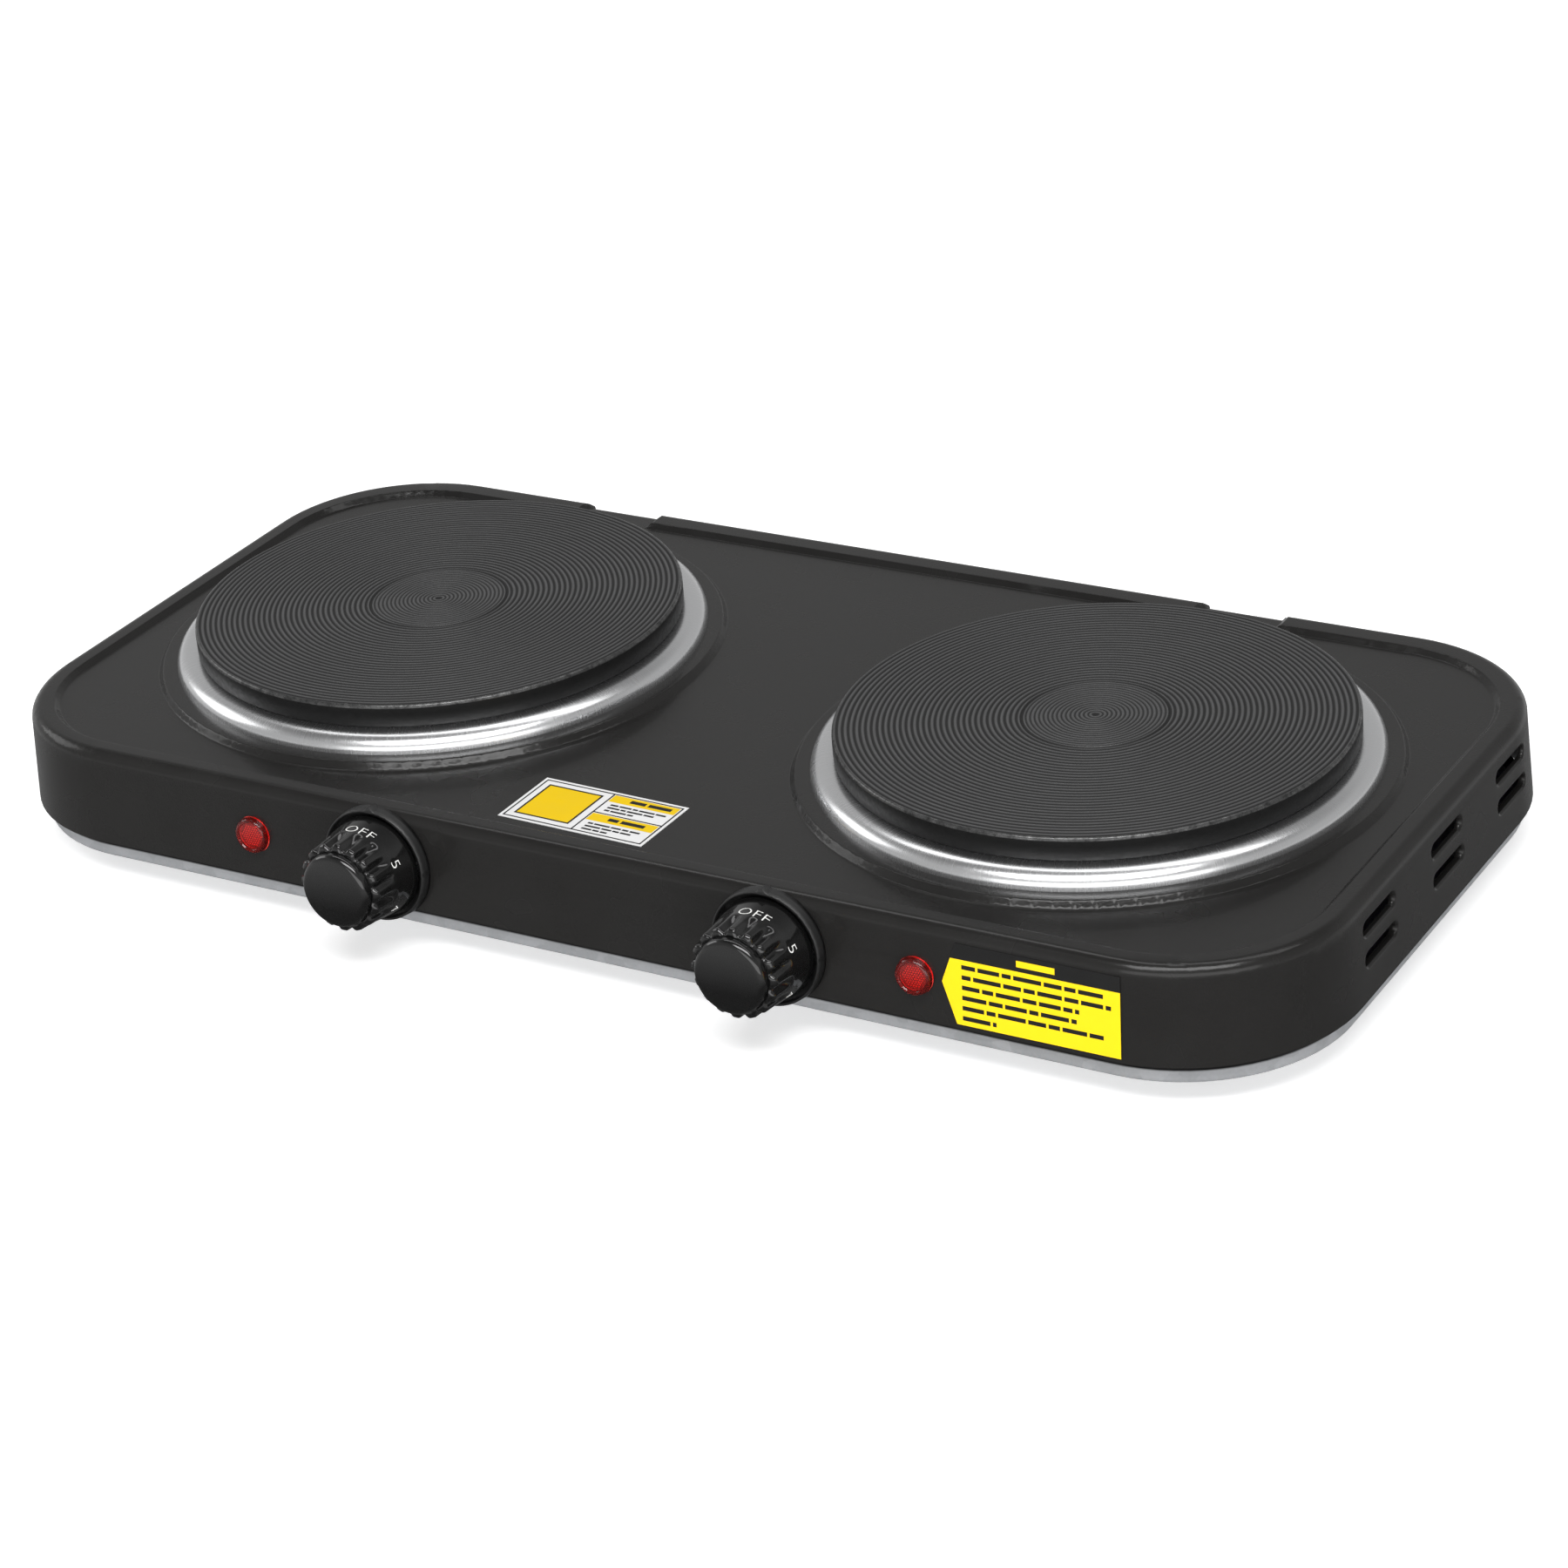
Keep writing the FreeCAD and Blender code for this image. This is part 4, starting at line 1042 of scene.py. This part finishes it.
def make_lamp(side, joint, looks):
    """The lens, and inside it the pressed lattice of small studs, which glow with painted light."""
    node = side + "_lamp_lens"
    low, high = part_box(node)
    place = wall_frame(joint)
    place.translation.x = (low.x + high.x) / 2
    vertices, faces = lathe(lens_profile(), LENS_TURNS)
    lens = new_piece(node + "_clear", vertices, faces, "housing", [looks["lens"]],
                     smooth_angle=40.0, place=place)
    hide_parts(node)
    vertices, faces = lattice_mesh()
    new_piece(side + "_lamp_lattice", vertices, faces, "housing", [looks["lattice"]],
              smooth_angle=10.0, place=place)
    back = STUD_FOOT - BACKING_SHEET
    section = [(0.0, STUD_FOOT), (BACKING_RADIUS, STUD_FOOT), (BACKING_RADIUS, back), (0.0, back)]
    vertices, faces = lathe(section, BACKING_TURNS)
    new_piece(side + "_lamp_backing", vertices, faces, "housing", [looks["backing"]],
              smooth_angle=30.0, place=place)


# CAD nodes that keep their shape

NODE_LOOKS = {
    "galvanised_steel": "galvanised", "zinc_plated_steel": "zinc", "coil_metal": "coil",
    "refractory": "refractory", "white_ceramic": "ceramic", "black_rubber": "rubber",
    "lead_insulation": "sleeve", "earth_insulation": "earth", "brass_parts": "brass",
    "neon_glass": "neon", "label_film": "white_film", "collar_plastic": "collar",
    "black_powder_coat": "powder",
}


def dress_nodes(looks):
    """Gives every CAD node that stays visible its procedural material."""
    for node, holder in frame["nodes"].items():
        look = NODE_LOOKS.get(slot_of(node))
        if look and not holder.hide_render:
            holder.data.materials.clear()
            holder.data.materials.append(looks[look])


# Studio

def make_camera():
    """The camera, at the angle and distance of the view."""
    azimuth, elevation = math.radians(CAMERA_AZIMUTH), math.radians(CAMERA_ELEVATION)
    roll = math.radians(CAMERA_ROLL)
    back = Vector((math.sin(azimuth) * math.cos(elevation), -math.cos(azimuth) * math.cos(elevation),
                   math.sin(elevation)))
    right = Vector((math.cos(azimuth), math.sin(azimuth), 0.0))
    up = back.cross(right)
    side = math.cos(roll) * right + math.sin(roll) * up
    head = -math.sin(roll) * right + math.cos(roll) * up
    middle = centre_of("body_shell")
    target = Vector((middle.x, middle.y, CAMERA_HEIGHT))
    data = bpy.data.cameras.new("camera")
    data.lens = CAMERA_LENS
    data.sensor_width = CAMERA_SENSOR
    data.clip_start, data.clip_end = CAMERA_CLIP
    camera = bpy.data.objects.new("camera", data)
    camera.matrix_world = Matrix.Translation(
        target + back * CAMERA_DISTANCE + side * CAMERA_SLIDE[0] + head * CAMERA_SLIDE[1]
    ) @ Matrix((side, head, back)).transposed().to_4x4()
    bpy.context.scene.collection.objects.link(camera)
    bpy.context.scene.camera = camera


def make_light(name, place, size, power):
    """A soft rectangular light that faces the target."""
    data = bpy.data.lights.new(name, "AREA")
    data.shape = "RECTANGLE"
    data.size, data.size_y = size
    data.energy = power
    lamp = bpy.data.objects.new(name, data)
    lamp.visible_camera = False
    place = Vector(place)
    facing = (Vector(LIGHT_TARGET) - place).to_track_quat("-Z", "Y")
    lamp.matrix_world = Matrix.Translation(place) @ facing.to_matrix().to_4x4()
    bpy.context.scene.collection.objects.link(lamp)


def make_surround():
    """A pale surround, brightest where the white table runs to the horizon and dim underneath."""
    world = bpy.data.worlds.new("studio")
    bpy.context.scene.world = world
    world.use_nodes = True
    tree = world.node_tree
    direction = tree.nodes.new("ShaderNodeTexCoord").outputs["Generated"]
    height = split_axes(tree, direction)["Z"]
    table = spread(tree, height, SURROUND_BELOW, SURROUND_TABLE, *TABLE_RISE)
    above = spread(tree, height, 1.0, SURROUND_ABOVE / SURROUND_TABLE, *HORIZON_FADE)
    falloff = spread(tree, height, 1.0, SURROUND_TOP / SURROUND_ABOVE, *TOP_FADE)
    strength = maths(tree, "MULTIPLY", maths(tree, "MULTIPLY", table, above), falloff)
    background = tree.nodes["Background"]
    background.inputs["Color"].default_value = (1.0, 1.0, 1.0, 1.0)
    link(tree, strength, background.inputs["Strength"])


def make_studio():
    """The surround, the soft lights and a pale floor."""
    make_surround()
    for name, place, size, power in LIGHTS:
        make_light(name, place, size, power)
    floor = bpy.data.meshes.new("floor")
    reach = FLOOR_REACH
    corners = [(-reach, -reach, 0), (reach, -reach, 0), (reach, reach, 0), (-reach, reach, 0)]
    floor.from_pydata(corners, [], [(0, 1, 2, 3)])
    floor.materials.append(floor_paper())
    piece = bpy.data.objects.new("floor", floor)
    piece.visible_glossy = False
    bpy.context.scene.collection.objects.link(piece)
    bpy.context.scene.view_settings.view_transform = "Standard"


def floor_paper():
    """White paper on a light table."""
    made, tree, shader, coordinates = new_material("floor_paper", (0.85, 0.85, 0.85), 0.8)
    grain = noise(tree, coordinates, 60, 2)
    vary_colour(tree, shader, grain, (0.84, 0.84, 0.84), (0.87, 0.87, 0.87))
    shader.inputs["Emission Color"].default_value = (1.0, 1.0, 1.0, 1.0)
    shader.inputs["Emission Strength"].default_value = FLOOR_GLOW
    return made


looks = make_materials()
make_camera()
make_studio()
joints = {joint["name"].split("_")[0]: joint for joint in frame["joints"]}
smooth_copy("body_shell", "body_shell_coated", looks["powder"])
smooth_copy("base_plate", "base_plate_rolled", looks["galvanised"])
for side in SIDES:
    make_plate(side, looks)
    make_ring(side, looks)
    make_knob(side, joints[side], looks)
    make_marks(side, joints[side], looks)
    make_lamp(side, joints[side], looks)
    smooth_copy(side + "_knob_collar", side + "_knob_collar_matt", looks["collar"], smooth_angle=100.0)
make_top_label(looks)
make_front_label(looks)
dress_nodes(looks)
frame["nodes"]["top_label"].data.materials[0] = looks["white_film"]
frame["nodes"]["front_label"].data.materials[0] = looks["black_film"]
